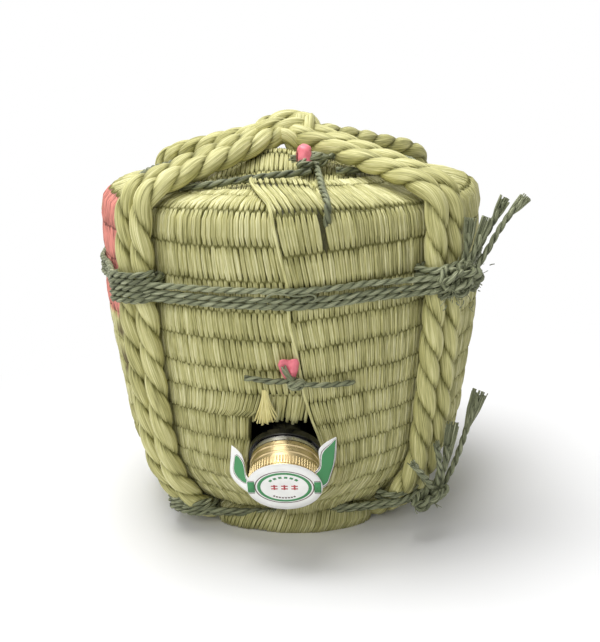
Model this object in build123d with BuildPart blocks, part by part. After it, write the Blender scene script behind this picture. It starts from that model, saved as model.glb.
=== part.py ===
import os
from math import acos, cos, degrees, hypot, pi, radians, sin, sqrt, tan

from build123d import *

os.makedirs("parts", exist_ok=True)

# A straw-wrapped sake cask, in millimetres. +Z is up, the origin is the middle of the foot,
# and the screw cap faces -Y. Azimuths are measured from -Y towards +X, in degrees.

# Outline of the straw wrapping, from the underside up to the crown, its corners set back from the rim
rim_radius = 95.0
fold_setback = 28.0
lower_setback = 9.5
crown_setback = 50.0
fold_radius = rim_radius - fold_setback
lower_radius = rim_radius - lower_setback
crown_radius = rim_radius - crown_setback
underside_height = 11.5
lower_height = 34.0
rim_height = 165.0
belly_drop = 55.0
crown_rise = 9.5
dome_rise = 2.0
belly_height = rim_height - belly_drop
crown_height = rim_height + crown_rise
dome_height = crown_height + dome_rise
fold_round = 8.0
lower_round = 60.0
belly_round = 300.0
rim_round = 11.0
crown_round = 80.0

# Layers of the wrapping and the bottle inside it
outer_mat_thickness = 5.0
inner_mat_thickness = 10.0
layer_gap = 0.3
least_round = 1.0
top_hole_setback = 35.0
top_hole_radius = rim_radius - top_hole_setback
bottle_wall = 3.0
bottle_heel_round = 6.0
bottle_shoulder_round = 14.0

# Opening in the front of the mats
opening_half_width = 21.0
opening_low_height = 24.0
opening_waist_height = 55.0
opening_shoulder_height = 71.0
opening_apex_height = 86.0
opening_shoulder_half_width = 17.0
opening_apex_half_width = 2.5
inner_opening_half_width = 19.5
inner_opening_height = 73.0

# Foot under the fold
foot_overhang = 0.5
foot_waist_setback = 7.0
foot_radius = fold_radius + foot_overhang
foot_waist_radius = fold_radius - foot_waist_setback
foot_edge_height = 7.0
foot_round = 2.5

# Neck and screw cap, whose axis points forwards and down
cap_tilt = 30.0
cap_standoff = 16.625
cap_centre_height = 41.0
cap_radius = 16.0
cap_length = 14.0
cap_wall = 0.7
cap_top_thickness = 0.8
cap_edge_round = 0.7
knurl_start = 1.4
knurl_length = 4.2
knurl_height = 0.5
knurl_count = 72
knurl_groove_radius = 0.45
bead_radius = 0.75
bead_places = (8.0, 11.6)
liner_thickness = 1.2
liner_side_gap = 0.3
liner_gap = 0.1
neck_radius = 13.6
neck_bore_radius = 11.0
neck_root_depth = 18.375
neck_ring_radius = 17.2
neck_ring_length = 3.0
tamper_ring_length = 2.2
tamper_ring_wall = 1.6
tamper_gap = 0.4
thread_pitch = 4.0
thread_turns = 1.5
thread_depth = 1.1
thread_width = 2.0
thread_start = 4.0
thread_sink = 0.3

# Paper seal over the cap
seal_thickness = 0.4
seal_gap = 0.05
seal_radius = 17.3
seal_arm_half_height = 6.5
seal_arm_angle = 62.0
seal_arm_length = 9.0
wing_tip_rise = 20.0
wing_base_drop = 9.0
wing_width = 10.0

# Thick straw ropes in pairs, from the knot on top, down the wall and under the foot
rope_diameter = 10.5
rope_spacing = 11.2
rope_gap = 0.3
rope_pair_azimuths = {
    "rope_front_right": 46.0,
    "rope_back_right": 138.0,
    "rope_back_left": 226.0,
    "rope_front_left": 318.0,
}
rope_knot_reach = 14.0
rope_knot_rise = 12.5
rope_tuck_reach = 26.0
rope_channel_gap = 0.4
top_knot_size = (36.0, 28.0, 19.0)
top_knot_rise = 1.5

# Twine
twine_diameter = 2.5
twine_gap = 0.3
girth_pitch = 3.1
girth_turns = 3
girth_corner_round = 20.0
girth_corner_heights = (125.4, 127.0, 124.5, 119.5)
base_pitch = 2.95
base_turns = 2
base_corner_heights = (11.5, 7.6, 7.6, 7.6)
base_corner_round = 20.0
gap_steps = 400
quarter_turn = 90.0

# Knots of the twine, each as width, height and thickness
girth_knot_size = (30.0, 18.0, 9.0)
girth_knot_shift = -4.0
girth_knot_height = 130.0
base_knot_size = (18.0, 15.0, 9.0)
base_knot_shift = 2.0
base_knot_height = 19.5
lacing_knot_size = (12.0, 6.5, 9.0)
lacing_knot_reach = 40.0
lacing_knot_azimuth = 19.0
stitch_knot_size = (8.0, 6.0, 4.5)
stitch_knot_azimuth = 3.0
stitch_height = 88.5
knot_round_share = 0.45

# Twine routes that follow the object, chosen by hand
arc_run_share = 0.45
lacing_route = [
    (12, -48),
    (-14, -55),
    (-46, -64),
    (-72, -36),
    (-76, 4),
    (-55, 44),
    (-16, 62),
    (26, 60),
    (58, 40),
    (66, 4),
    (52, -30),
    (24, -44),
]
stitch_azimuths = (-12.0, -3.0, 8.0, 20.0)
stitch_rises = (-2.0, 1.2, 0.6, -2.6)
stitch_lift = 0.7
riser_azimuth = 12.0
riser_start_setback = 41.0
riser_end_drop = 7.0
riser_round = 10.0
tail_routes = {
    "girth_tail_long": [
        (84.0, -75.0, 128.0),
        (87.6, -70.0, 134.2),
        (92.6, -68.2, 141.9),
        (97.8, -66.2, 151.0),
        (102.8, -65.2, 158.6),
        (108.6, -63.2, 164.0),
    ],
    "girth_tail_short": [
        (82.0, -71.8, 133.6),
        (86.3, -68.6, 138.0),
        (90.2, -65.6, 145.6),
        (95.4, -62.6, 153.8),
        (100.0, -60.4, 162.6),
    ],
    "base_tail_long": [
        (72.5, -62.5, 20.0),
        (77.6, -60.2, 26.2),
        (81.6, -60.6, 36.4),
        (85.4, -58.2, 47.6),
        (88.8, -57.6, 58.6),
        (92.4, -54.4, 67.2),
    ],
}
girth_stub_routes = [
    [(80.0, -73.0, 131.0), (83.2, -69.2, 141.0), (83.4, -68.8, 151.5), (84.0, -68.4, 160.6)],
    [(81.5, -71.5, 130.0), (85.6, -67.4, 137.6), (88.8, -65.0, 147.0), (92.6, -61.6, 157.6)],
]
base_stub_routes = [
    [(72.0, -64.5, 20.0), (76.6, -66.2, 35.0), (76.6, -69.6, 48.0), (79.8, -67.2, 63.6)],
    [(70.0, -66.5, 19.0), (73.6, -71.0, 33.0), (72.0, -75.4, 45.0), (70.2, -77.6, 56.0)],
    [(69.0, -66.5, 20.0), (69.4, -72.6, 31.0), (64.6, -78.6, 39.4), (57.4, -86.6, 49.6)],
]

# Ribbon scraps and the loose straw over the opening
ribbon_thickness = 0.4
top_tag_width = 7.0
top_tag_length = 12.0
top_tag_azimuth = 14.0
top_tag_reach = 28.0
front_tag_width = 10.0
front_tag_length = 7.0
front_tag_azimuth = 1.0
tuft_azimuth = -3.0
tuft_height = 80.0
tuft_length = 12.0
tuft_top_size = (3.0, 2.0)
tuft_end_size = (9.0, 3.0)


def inset_outline(inset):
    """The outline with each straight side moved inwards, as (radius, height) points."""
    corners = [
        Vector(0, underside_height),
        Vector(fold_radius, underside_height),
        Vector(lower_radius, lower_height),
        Vector(rim_radius, belly_height),
        Vector(rim_radius, rim_height),
        Vector(crown_radius, crown_height),
        Vector(0, dome_height),
    ]
    sides = []
    for start, end in zip(corners, corners[1:]):
        along = (end - start).normalized()
        sides.append((start + Vector(-along.Y, along.X) * inset, along))
    moved = []
    for (place, along), (next_place, next_along) in zip(sides, sides[1:]):
        reach = next_place - place
        turn = along.X * next_along.Y - along.Y * next_along.X
        moved.append(place + along * ((reach.X * next_along.Y - reach.Y * next_along.X) / turn))
    last_place, last_along = sides[-1]
    bottom = Vector(0, underside_height + inset)
    top = last_place - last_along * (last_place.X / last_along.X)
    return [bottom, *moved, top]


def jar(inset, rounds):
    """A solid of the outline, its sides moved inwards and its corners rounded."""
    with BuildPart() as made:
        with BuildSketch(Plane.XZ):
            with BuildLine():
                wall = FilletPolyline(
                    *[(corner.X, corner.Y) for corner in inset_outline(inset)],
                    radius=rounds,
                )
                Line(wall @ 1, wall @ 0)
            make_face()
        revolve(axis=Axis.Z)
    return made.part


def mat_jar(inset):
    """The same, with corners that run parallel to the outer mat's."""
    rounds = (fold_round, lower_round, belly_round, rim_round, crown_round)
    return jar(inset, [max(size - inset, least_round) for size in rounds])


def outline_radius(height, offset):
    """The radius of the wrapping's side at a height, moved outwards, its corners left sharp."""
    corners = inset_outline(-offset)[1:5]
    for low, high in zip(corners, corners[1:]):
        if height <= high.Y:
            break
    return low.X + (high.X - low.X) * (height - low.Y) / (high.Y - low.Y)


def around(azimuth, reach, height):
    """A point at an azimuth from -Y towards +X."""
    angle = radians(azimuth)
    return Vector(reach * sin(angle), -reach * cos(angle), height)


def upright_plane(azimuth, reach, height):
    """A plane whose normal points straight out of the wall, with its y axis up."""
    outwards = around(azimuth, 1, 0)
    return Plane(
        origin=around(azimuth, reach, height), x_dir=around(azimuth + quarter_turn, 1, 0), z_dir=outwards
    )


def bend_radii(points):
    """The largest arc that each corner of a route has room for."""
    radii = []
    for before, here, after in zip(points, points[1:], points[2:]):
        turn = radians((here - before).get_angle(after - here))
        run = min((here - before).length, (after - here).length)
        radii.append(arc_run_share * run / tan(turn / 2))
    return radii


def report_route(name, path, radii, diameter, solid):
    """Prints a route's arcs and how far the tube's volume is from its section times its length."""
    expected = pi * diameter**2 / 4 * path.length
    print(
        f"{name}: length {path.length:.1f}, radii {[round(size, 1) for size in radii]},",
        f"volume ratio {solid.volume / expected:.4f}",
    )


def tube(route, radii, diameter):
    """A round tube along straight runs joined by arcs."""
    with BuildPart() as made:
        with BuildLine() as line:
            FilletPolyline(*route, radius=radii)
        path = line.wires()[0]
        with BuildSketch(Plane(origin=path @ 0, z_dir=path % 0)):
            Circle(diameter / 2)
        sweep(path=path)
    return made.part, path


def finish(piece, name):
    """Labels a piece and writes it."""
    piece.label = name
    export_step(piece, f"parts/{name}.step")


outer_inset = outer_mat_thickness
inner_outer_inset = outer_inset + layer_gap
inner_inset = inner_outer_inset + inner_mat_thickness
bottle_inset = inner_inset + layer_gap
beyond = 2 * rim_radius
twine_reach = twine_diameter / 2 + twine_gap
rope_reach = rope_diameter / 2 + rope_gap

outer_shape = mat_jar(0)
outer_hollow = mat_jar(outer_inset)
inner_shape = mat_jar(inner_outer_inset)
inner_hollow = mat_jar(inner_inset)
bottle_rounds = [
    bottle_heel_round,
    lower_round - bottle_inset,
    belly_round - bottle_inset,
    bottle_shoulder_round,
    crown_round - bottle_inset,
]
bottle_shape = jar(bottle_inset, bottle_rounds)
bottle_hollow = jar(bottle_inset + bottle_wall, [size - bottle_wall for size in bottle_rounds])

# Outer mat: one rush sheet round the side, its margins folded over the top and under the foot
with BuildPart() as outer_mat:
    add(outer_shape)
    add(outer_hollow, mode=Mode.SUBTRACT)
    with BuildSketch(Plane.XY.offset(rim_height - outer_inset)):
        Circle(top_hole_radius)
    extrude(amount=beyond, mode=Mode.SUBTRACT)
    with BuildSketch(Plane.XZ):
        Polygon(
            (-opening_half_width, opening_low_height),
            (opening_half_width, opening_low_height),
            (opening_half_width, opening_waist_height),
            (opening_apex_half_width, opening_apex_height),
            (-opening_apex_half_width, opening_apex_height),
            (-opening_shoulder_half_width, opening_shoulder_height),
            (-opening_half_width, opening_waist_height),
            align=None,
        )
    extrude(amount=beyond, mode=Mode.SUBTRACT)
finish(outer_mat.part, "outer_mat")

# Top mat: the inner sheet's end that shows inside the folded margin
with BuildPart() as top_mat:
    add(outer_shape)
    add(outer_hollow, mode=Mode.SUBTRACT)
    with BuildSketch(Plane.XY.offset(rim_height - outer_inset)):
        Circle(top_hole_radius - layer_gap)
    extrude(amount=beyond, mode=Mode.INTERSECT)
finish(top_mat.part, "top_mat")

# Inner mat: the padding between the bottle and the outer mat
with BuildPart() as inner_mat:
    add(inner_shape)
    add(inner_hollow, mode=Mode.SUBTRACT)
    with BuildSketch(Plane.XZ):
        Polygon(
            (-inner_opening_half_width, opening_low_height),
            (inner_opening_half_width, opening_low_height),
            (inner_opening_half_width, opening_waist_height),
            (opening_shoulder_half_width, inner_opening_height),
            (-opening_shoulder_half_width, inner_opening_height),
            (-inner_opening_half_width, opening_waist_height),
            align=None,
        )
    extrude(amount=beyond, mode=Mode.SUBTRACT)
finish(inner_mat.part, "inner_mat")

# Foot: the lower margin gathered under the fold, with a channel for each pair of ropes
foot_height = underside_height - layer_gap
channel_width = rope_spacing + rope_diameter + 2 * rope_channel_gap
with BuildPart() as foot:
    with BuildSketch(Plane.XZ) as foot_face:
        with BuildLine():
            edge = FilletPolyline(
                (0, 0),
                (foot_radius, 0),
                (foot_radius, foot_edge_height),
                (foot_waist_radius, foot_height),
                (0, foot_height),
                radius=foot_round,
            )
            Line(edge @ 1, edge @ 0)
        make_face()
    revolve(axis=Axis.Z)
    for azimuth in rope_pair_azimuths.values():
        channel_start = upright_plane(azimuth, rope_tuck_reach - rope_channel_gap, 0)
        with BuildSketch(channel_start):
            with Locations((0, foot_height / 2)):
                Rectangle(channel_width, 2 * foot_height)
        extrude(amount=beyond, mode=Mode.SUBTRACT)
finish(foot.part, "foot")

# Cap axis: plane at the cap's face, with its normal pointing out and down
cap_axis = Vector(0, -cos(radians(cap_tilt)), -sin(radians(cap_tilt)))
cap_reach = outline_radius(cap_centre_height, 0) + cap_standoff
cap_plane = Plane(origin=(0, -cap_reach, cap_centre_height), x_dir=(1, 0, 0), z_dir=cap_axis)
cap_bore_radius = cap_radius - cap_wall
mouth_plane = cap_plane.offset(-cap_top_thickness - liner_thickness - liner_gap)
tamper_start = cap_length + tamper_gap
neck_ring_start = tamper_start + tamper_ring_length + tamper_gap
neck_length = (cap_standoff + neck_root_depth) / cos(radians(cap_tilt))
thread_plane = mouth_plane.offset(-thread_start - thread_turns * thread_pitch)

# Bottle: a hollow vessel of the same outline, with a tilted neck low on its front
with BuildPart() as bottle:
    add(bottle_shape)
    with BuildSketch(mouth_plane):
        Circle(neck_radius)
    extrude(amount=-neck_length)
    with BuildSketch(cap_plane.offset(-neck_ring_start)):
        Circle(neck_ring_radius)
    extrude(amount=-neck_ring_length)
    add(bottle_hollow, mode=Mode.SUBTRACT)
    with BuildSketch(mouth_plane):
        Circle(neck_bore_radius)
    extrude(amount=-neck_length, mode=Mode.SUBTRACT)
    with BuildLine() as thread_line:
        Helix(
            pitch=thread_pitch, height=thread_turns * thread_pitch, radius=neck_radius - thread_sink
        )
    thread_path = thread_line.wires()[0].moved(thread_plane.location)
    with BuildSketch(
        Plane(
            origin=thread_path @ 0,
            x_dir=(thread_path @ 0) - thread_plane.origin,
            z_dir=thread_path % 0,
        )
    ):
        Polygon(
            (0, -thread_width / 2),
            (thread_depth + thread_sink, -thread_width / 4),
            (thread_depth + thread_sink, thread_width / 4),
            (0, thread_width / 2),
            align=None,
        )
    sweep(path=thread_path, is_frenet=True)
finish(bottle.part, "bottle")

# Tamper ring left on the neck behind the cap
with BuildPart() as tamper_ring:
    with BuildSketch(cap_plane.offset(-tamper_start)):
        Circle(cap_radius)
        Circle(cap_radius - tamper_ring_wall, mode=Mode.SUBTRACT)
    extrude(amount=-tamper_ring_length)
finish(tamper_ring.part, "tamper_ring")

# Screw cap: thin metal shell with a knurled band and two beads
with BuildPart() as screw_cap:
    with BuildSketch(cap_plane):
        Circle(cap_radius)
    extrude(amount=-cap_length)
    cap_face = screw_cap.faces().sort_by(Axis(cap_plane.origin, cap_axis))[-1]
    fillet(cap_face.edges(), radius=cap_edge_round)
    with BuildSketch(cap_plane.offset(-knurl_start)):
        Circle(cap_radius + knurl_height)
        with PolarLocations(cap_radius + knurl_height + knurl_groove_radius / 4, knurl_count):
            Circle(knurl_groove_radius, mode=Mode.SUBTRACT)
    extrude(amount=-knurl_length)
    for place in bead_places:
        with Locations(cap_plane.offset(-place)):
            Torus(cap_radius - bead_radius / 2, bead_radius)
    with BuildSketch(cap_plane.offset(-cap_top_thickness)):
        Circle(cap_bore_radius)
    extrude(amount=-cap_length, mode=Mode.SUBTRACT)
finish(screw_cap.part, "screw_cap")

# Liner: the sealing disc inside the cap
with BuildPart() as cap_liner:
    with BuildSketch(cap_plane.offset(-cap_top_thickness)):
        Circle(cap_bore_radius - liner_side_gap)
    extrude(amount=-liner_thickness)
finish(cap_liner.part, "cap_liner")

# Paper seal: a disc on the cap's face, with an arm on each side bent back and a wing turned up
seal_plane = cap_plane.offset(seal_gap)
arm_angle = radians(seal_arm_angle)
with BuildPart() as paper_seal:
    with BuildSketch(seal_plane):
        Circle(seal_radius)
    extrude(amount=seal_thickness)
    for side in (-1, 1):
        sideways = Vector(side, 0, 0)
        bend_middle = Vector(side * (seal_radius - seal_thickness), 0, seal_thickness / 2)
        arm_plane = Plane(
            origin=seal_plane.from_local_coords(bend_middle),
            x_dir=sideways * cos(arm_angle) - cap_axis * sin(arm_angle),
            z_dir=cap_axis * cos(arm_angle) + sideways * sin(arm_angle),
        )
        # The y axis of this plane points up on the right and down on the left
        up = side
        with BuildSketch(arm_plane):
            Polygon(
                (0, -up * seal_arm_half_height),
                (seal_arm_length, -up * wing_base_drop),
                (seal_arm_length + wing_width, up * seal_arm_half_height),
                (seal_arm_length + wing_width / 2, up * wing_tip_rise),
                (seal_arm_length / 2, up * seal_arm_half_height),
                (0, up * seal_arm_half_height),
                align=None,
            )
        extrude(amount=seal_thickness / 2, both=True)
finish(paper_seal.part, "paper_seal")

# Ropes: each pair lies in one upright plane through the axis, one rope each side of it
rope_knot_height = dome_height + rope_knot_rise
rope_outline = inset_outline(-rope_reach)
rope_corners = [(corner.X, corner.Y) for corner in rope_outline[1:5]]
rope_profile = [
    (rope_knot_reach, rope_knot_height),
    *reversed(rope_corners),
    (rope_tuck_reach, rope_outline[0].Y),
]
rope_rounds = [size + rope_reach for size in (rim_round, belly_round, lower_round, fold_round)]
for name, azimuth in rope_pair_azimuths.items():
    across = around(azimuth + quarter_turn, rope_spacing / 2, 0)
    ropes = []
    for side in (-1, 1):
        route = [around(azimuth, reach, height) + across * side for reach, height in rope_profile]
        rope, rope_path = tube(route, rope_rounds, rope_diameter)
        ropes.append(rope)
    report_route(name, rope_path, rope_rounds, rope_diameter, ropes[-1])
    finish(Compound(children=[solid for rope in ropes for solid in rope.solids()]), name)


def knot(size, plane):
    """A rounded lump on a plane: width along x, height along y, thickness along the normal."""
    with BuildPart() as made:
        with Locations(plane):
            Box(*size)
        fillet(made.edges(), radius=knot_round_share * min(size))
    return made.part


# Top knot: where the eight rope ends are tied together
with BuildPart() as top_knot:
    add(knot(top_knot_size, Plane.XY.offset(rope_knot_height + top_knot_rise)))
finish(top_knot.part, "top_knot")


def crown_top(reach, offset=0):
    """The height of the wrapping's top at a distance from the axis, moved upwards."""
    corners = inset_outline(-offset)[4:]
    for outer, inner in zip(corners, corners[1:]):
        if reach >= inner.X:
            break
    return outer.Y + (inner.Y - outer.Y) * (outer.X - reach) / (outer.X - inner.X)


def wrap_end(station, corner, beside):
    """The end of a winding on top of a rope pair, and the corner where it leaves the rope's top."""
    azimuth, height, top_reach, _, _ = station
    out = around(azimuth, 1, 0)
    share = (corner.dot(out) - top_reach) / (corner.dot(out) - beside.dot(out))
    shoulder = corner + (beside - corner) * share
    middle = around(azimuth, top_reach, height)
    return middle - (shoulder - middle).normalized() * twine_diameter, shoulder


def wrap_route(wrap_radius, corner_round, turns, pitch, corner_heights):
    """Corners and arcs of a twine that lies on the wrapping and bridges over the rope pairs.

    It starts and ends on top of the front right pair, straight for one diameter.
    """
    azimuths = list(rope_pair_azimuths.values())
    half_bundle = rope_diameter / 2 + twine_reach
    stations = []
    for step in range(4 * turns + 1):
        azimuth = azimuths[step % 4] + 360 * (step // 4)
        height = corner_heights[step % 4] + pitch * step / 4
        rope_line = outline_radius(height, rope_reach + half_bundle) - half_bundle
        side_room = sqrt((corner_round - half_bundle) ** 2 - (rope_spacing / 2) ** 2)
        top_reach = rope_line - side_room + corner_round
        corner_reach = (rope_line - side_room) / (1 - corner_round / wrap_radius)
        leave = degrees(acos(wrap_radius / corner_reach))
        stations.append((azimuth, height, top_reach, corner_reach, leave))
    points, rounds = [], []
    for here, there in zip(stations, stations[1:]):
        azimuth, height, _, corner_reach, leave = here
        next_azimuth, next_height, _, _, next_leave = there
        mat_start, mat_end = azimuth + leave, next_azimuth - next_leave
        mat_corner = wrap_radius / cos(radians((mat_end - mat_start) / 2))
        points.append(around(azimuth, corner_reach, height))
        rounds.append(corner_round)
        points.append(around((mat_start + mat_end) / 2, mat_corner, (height + next_height) / 2))
        rounds.append(wrap_radius)
    azimuth, height, _, corner_reach, _ = stations[-1]
    points.append(around(azimuth, corner_reach, height))
    first_end, first_shoulder = wrap_end(stations[0], points[0], points[1])
    last_end, last_shoulder = wrap_end(stations[-1], points[-1], points[-2])
    route = [first_end, first_shoulder, *points[1:-1], last_shoulder, last_end]
    return route, [corner_round, *rounds[1:], corner_round]


def least_gap(path, diameter, turn_share):
    """The least gap between points of a winding's tube that are more than half a turn apart."""
    places = [path @ (index / gap_steps) for index in range(gap_steps + 1)]
    apart = int(gap_steps * turn_share / 2)
    nearest = min(
        (places[one] - places[two]).length
        for one in range(gap_steps + 1)
        for two in range(one + apart, gap_steps + 1)
    )
    return nearest - diameter


# Girth twine: three turns round the barrel, over the ropes, one unbroken tube
girth_route, girth_rounds = wrap_route(
    rim_radius + twine_reach, girth_corner_round, girth_turns, girth_pitch, girth_corner_heights
)
girth_twine, girth_path = tube(girth_route, girth_rounds, twine_diameter)
report_route("girth_twine", girth_path, girth_rounds[:2], twine_diameter, girth_twine)
print(f"girth_twine least gap {least_gap(girth_path, twine_diameter, 1 / girth_turns):.2f}")
finish(girth_twine, "girth_twine")

# Base twine: two turns in the groove between the fold and the foot, over the ropes
base_last_corner = base_corner_heights[0] + base_turns * base_pitch
base_corner_before = base_corner_heights[-1] + (base_turns - 1 / 4) * base_pitch
base_wrap_radius = outline_radius((base_corner_before + base_last_corner) / 2, twine_reach)
base_route, base_rounds = wrap_route(
    base_wrap_radius, base_corner_round, base_turns, base_pitch, base_corner_heights
)
base_twine, base_path = tube(base_route, base_rounds, twine_diameter)
report_route("base_twine", base_path, base_rounds[:2], twine_diameter, base_twine)
print(f"base_twine least gap {least_gap(base_path, twine_diameter, 1 / base_turns):.2f}")
finish(base_twine, "base_twine")

# Girth knot and its short ends, on the front right ropes
front_right = rope_pair_azimuths["rope_front_right"]
rope_face = rope_reach + rope_diameter / 2 + twine_gap
girth_knot_reach = rim_radius + rope_face + girth_knot_size[2] / 2
girth_knot_plane = upright_plane(front_right, girth_knot_reach, girth_knot_height)
girth_knot_plane = girth_knot_plane.move(Location(girth_knot_plane.x_dir * girth_knot_shift))
with BuildPart() as girth_knot:
    add(knot(girth_knot_size, girth_knot_plane))
    for route in girth_stub_routes:
        places = [Vector(*place) for place in route]
        add(tube(places, bend_radii(places), twine_diameter)[0])
finish(girth_knot.part, "girth_knot")

# Base knot and its short ends, on the slope where the ropes turn under
slope = Vector(lower_radius - fold_radius, lower_height - underside_height).normalized()
slope_out = around(front_right, slope.Y, -slope.X)
base_knot_foot = around(front_right, outline_radius(base_knot_height, rope_face), base_knot_height)
beside_ropes = around(front_right + quarter_turn, 1, 0)
base_knot_middle = base_knot_foot + slope_out * (base_knot_size[2] / 2) + beside_ropes * base_knot_shift
base_knot_plane = Plane(origin=base_knot_middle, x_dir=beside_ropes, z_dir=slope_out)
with BuildPart() as base_knot:
    add(knot(base_knot_size, base_knot_plane))
    for route in base_stub_routes:
        places = [Vector(*place) for place in route]
        add(tube(places, bend_radii(places), twine_diameter)[0])
finish(base_knot.part, "base_knot")

# Twine tails that stand free of the knots
for name, route in tail_routes.items():
    places = [Vector(*place) for place in route]
    radii = bend_radii(places)
    tail, tail_path = tube(places, radii, twine_diameter)
    report_route(name, tail_path, radii, twine_diameter, tail)
    finish(tail, name)

# Top lacing: one twine drawn round the mat's folded margin, its ends in the lacing knot
lacing_lift = twine_reach + twine_diameter / 2
lacing_places = [Vector(x, y, crown_top(hypot(x, y), lacing_lift)) for x, y in lacing_route]
lacing_radii = bend_radii(lacing_places)
top_lacing, lacing_path = tube(lacing_places, lacing_radii, twine_diameter)
report_route("top_lacing", lacing_path, lacing_radii, twine_diameter, top_lacing)
finish(top_lacing, "top_lacing")

# Lacing knot on the top mat
lacing_knot_plane = upright_plane(
    lacing_knot_azimuth,
    lacing_knot_reach,
    crown_top(lacing_knot_reach - lacing_knot_size[2] / 2, twine_gap) + lacing_knot_size[1] / 2,
)
with BuildPart() as lacing_knot:
    add(knot(lacing_knot_size, lacing_knot_plane))
finish(lacing_knot.part, "lacing_knot")

# Riser: a twine from the lacing knot over the rim that pinches the mat's edge
riser_outline = inset_outline(-twine_reach)
riser_start_reach = rim_radius - riser_start_setback
riser_places = [
    around(riser_azimuth, riser_start_reach, crown_top(riser_start_reach, twine_reach)),
    around(riser_azimuth, riser_outline[4].X, riser_outline[4].Y),
    around(riser_azimuth, riser_outline[4].X, rim_height - riser_end_drop),
]
rim_riser, riser_path = tube(riser_places, [riser_round], twine_diameter)
finish(rim_riser, "rim_riser")

# Front stitch: a twine across the overlap above the opening, with a knot on it
stitch_places = [
    around(azimuth, outline_radius(stitch_height, twine_reach + stitch_lift), stitch_height + rise)
    for azimuth, rise in zip(stitch_azimuths, stitch_rises)
]
stitch_radii = bend_radii(stitch_places)
front_stitch, stitch_path = tube(stitch_places, stitch_radii, twine_diameter)
report_route("front_stitch", stitch_path, stitch_radii, twine_diameter, front_stitch)
finish(front_stitch, "front_stitch")

stitch_knot_reach = outline_radius(stitch_height, twine_gap) + stitch_knot_size[2] / 2
stitch_knot_plane = upright_plane(stitch_knot_azimuth, stitch_knot_reach, stitch_height)
with BuildPart() as stitch_knot:
    add(knot(stitch_knot_size, stitch_knot_plane))
finish(stitch_knot.part, "stitch_knot")

# Ribbon scraps caught in the two knots
top_tag_base = crown_top(top_tag_reach, twine_gap)
with BuildPart() as top_tag:
    with BuildSketch(upright_plane(top_tag_azimuth, top_tag_reach, top_tag_base + top_tag_length / 2)):
        Rectangle(top_tag_width, top_tag_length)
    extrude(amount=ribbon_thickness)
finish(top_tag.part, "top_tag")

front_tag_base = stitch_height + stitch_knot_size[1] / 2
with BuildPart() as front_tag:
    with BuildSketch(
        upright_plane(
            front_tag_azimuth,
            outline_radius(front_tag_base + front_tag_length, twine_gap),
            front_tag_base + front_tag_length / 2,
        )
    ):
        Rectangle(front_tag_width, front_tag_length)
    extrude(amount=ribbon_thickness)
finish(front_tag.part, "front_tag")

# Straw tuft: loose cut ends that hang over the top of the opening
tuft_reach = outline_radius(tuft_height, -outer_inset / 2)
with BuildPart() as straw_tuft:
    with BuildSketch(Plane(origin=around(tuft_azimuth, tuft_reach, tuft_height), z_dir=(0, 0, -1))):
        Rectangle(*tuft_top_size)
    with BuildSketch(
        Plane(origin=around(tuft_azimuth, tuft_reach, tuft_height - tuft_length), z_dir=(0, 0, -1))
    ):
        Rectangle(*tuft_end_size)
    loft(ruled=True)
finish(straw_tuft.part, "straw_tuft")
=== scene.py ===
import math

import bmesh
import bpy
import numpy as np
from mathutils import Matrix, Vector


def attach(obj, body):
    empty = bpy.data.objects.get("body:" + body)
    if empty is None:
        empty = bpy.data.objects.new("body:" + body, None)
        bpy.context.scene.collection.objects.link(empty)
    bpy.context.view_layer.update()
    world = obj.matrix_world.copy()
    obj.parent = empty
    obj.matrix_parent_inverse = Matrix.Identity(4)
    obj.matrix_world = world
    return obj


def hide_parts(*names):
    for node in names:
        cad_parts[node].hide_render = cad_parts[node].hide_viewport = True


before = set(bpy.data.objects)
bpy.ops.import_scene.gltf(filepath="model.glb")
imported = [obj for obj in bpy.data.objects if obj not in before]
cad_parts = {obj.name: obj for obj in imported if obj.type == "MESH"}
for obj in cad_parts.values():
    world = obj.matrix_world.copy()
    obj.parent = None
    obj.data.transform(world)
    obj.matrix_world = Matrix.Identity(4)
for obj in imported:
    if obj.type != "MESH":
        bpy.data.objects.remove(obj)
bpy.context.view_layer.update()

mm = 0.001
rng = np.random.default_rng(11)
tau = 2 * math.pi

# camera, where the photograph was taken from; +Z is up and the cap faces -Y
viewpoint = {
    "place": (0.028523, -0.544253, 0.242),
    "right": (0.99902, 0.04107, -0.01664),
    "up": (0.00498, 0.26922, 0.96307),
    "forward": (-0.04403, 0.96220, -0.26875),
    "lens": 59.49,
}


def makeCamera():
    data = bpy.data.cameras.new("camera")
    data.lens = viewpoint["lens"]
    data.sensor_width = 36
    data.clip_start = 0.01
    camera = bpy.data.objects.new("camera", data)
    turn = Matrix([viewpoint["right"], viewpoint["up"], [-c for c in viewpoint["forward"]]]).transposed()
    camera.matrix_world = Matrix.Translation(viewpoint["place"]) @ turn.to_4x4()
    bpy.context.scene.collection.objects.link(camera)
    bpy.context.scene.camera = camera


makeCamera()
bpy.context.scene.view_settings.view_transform = "Standard"
print("camera set")


# shader helpers: a value in the table is either a number or another node's output
def wire(tree, kind, values=None, **settings):
    node = tree.nodes.new(kind)
    for name, value in settings.items():
        setattr(node, name, value)
    for key, value in (values or {}).items():
        if isinstance(value, bpy.types.NodeSocket):
            tree.links.new(value, node.inputs[key])
        else:
            node.inputs[key].default_value = value
    return node


def calc(tree, operation, first, second=0.0, third=0.0):
    return wire(tree, "ShaderNodeMath", {0: first, 1: second, 2: third}, operation=operation).outputs[0]


# a value's swing about one half, weighted and added to a base
def swing(tree, value, weight, base):
    return calc(tree, "MULTIPLY_ADD", calc(tree, "SUBTRACT", value, 0.5), weight, base)


def blendColour(tree, factor, low, high):
    return wire(tree, "ShaderNodeMix", {0: factor, 6: low, 7: high}, data_type="RGBA").outputs[2]


def remap(tree, value, low, high, newLow=0.0, newHigh=1.0):
    return wire(tree, "ShaderNodeMapRange", {0: value, 1: low, 2: high, 3: newLow, 4: newHigh}).outputs[0]


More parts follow.
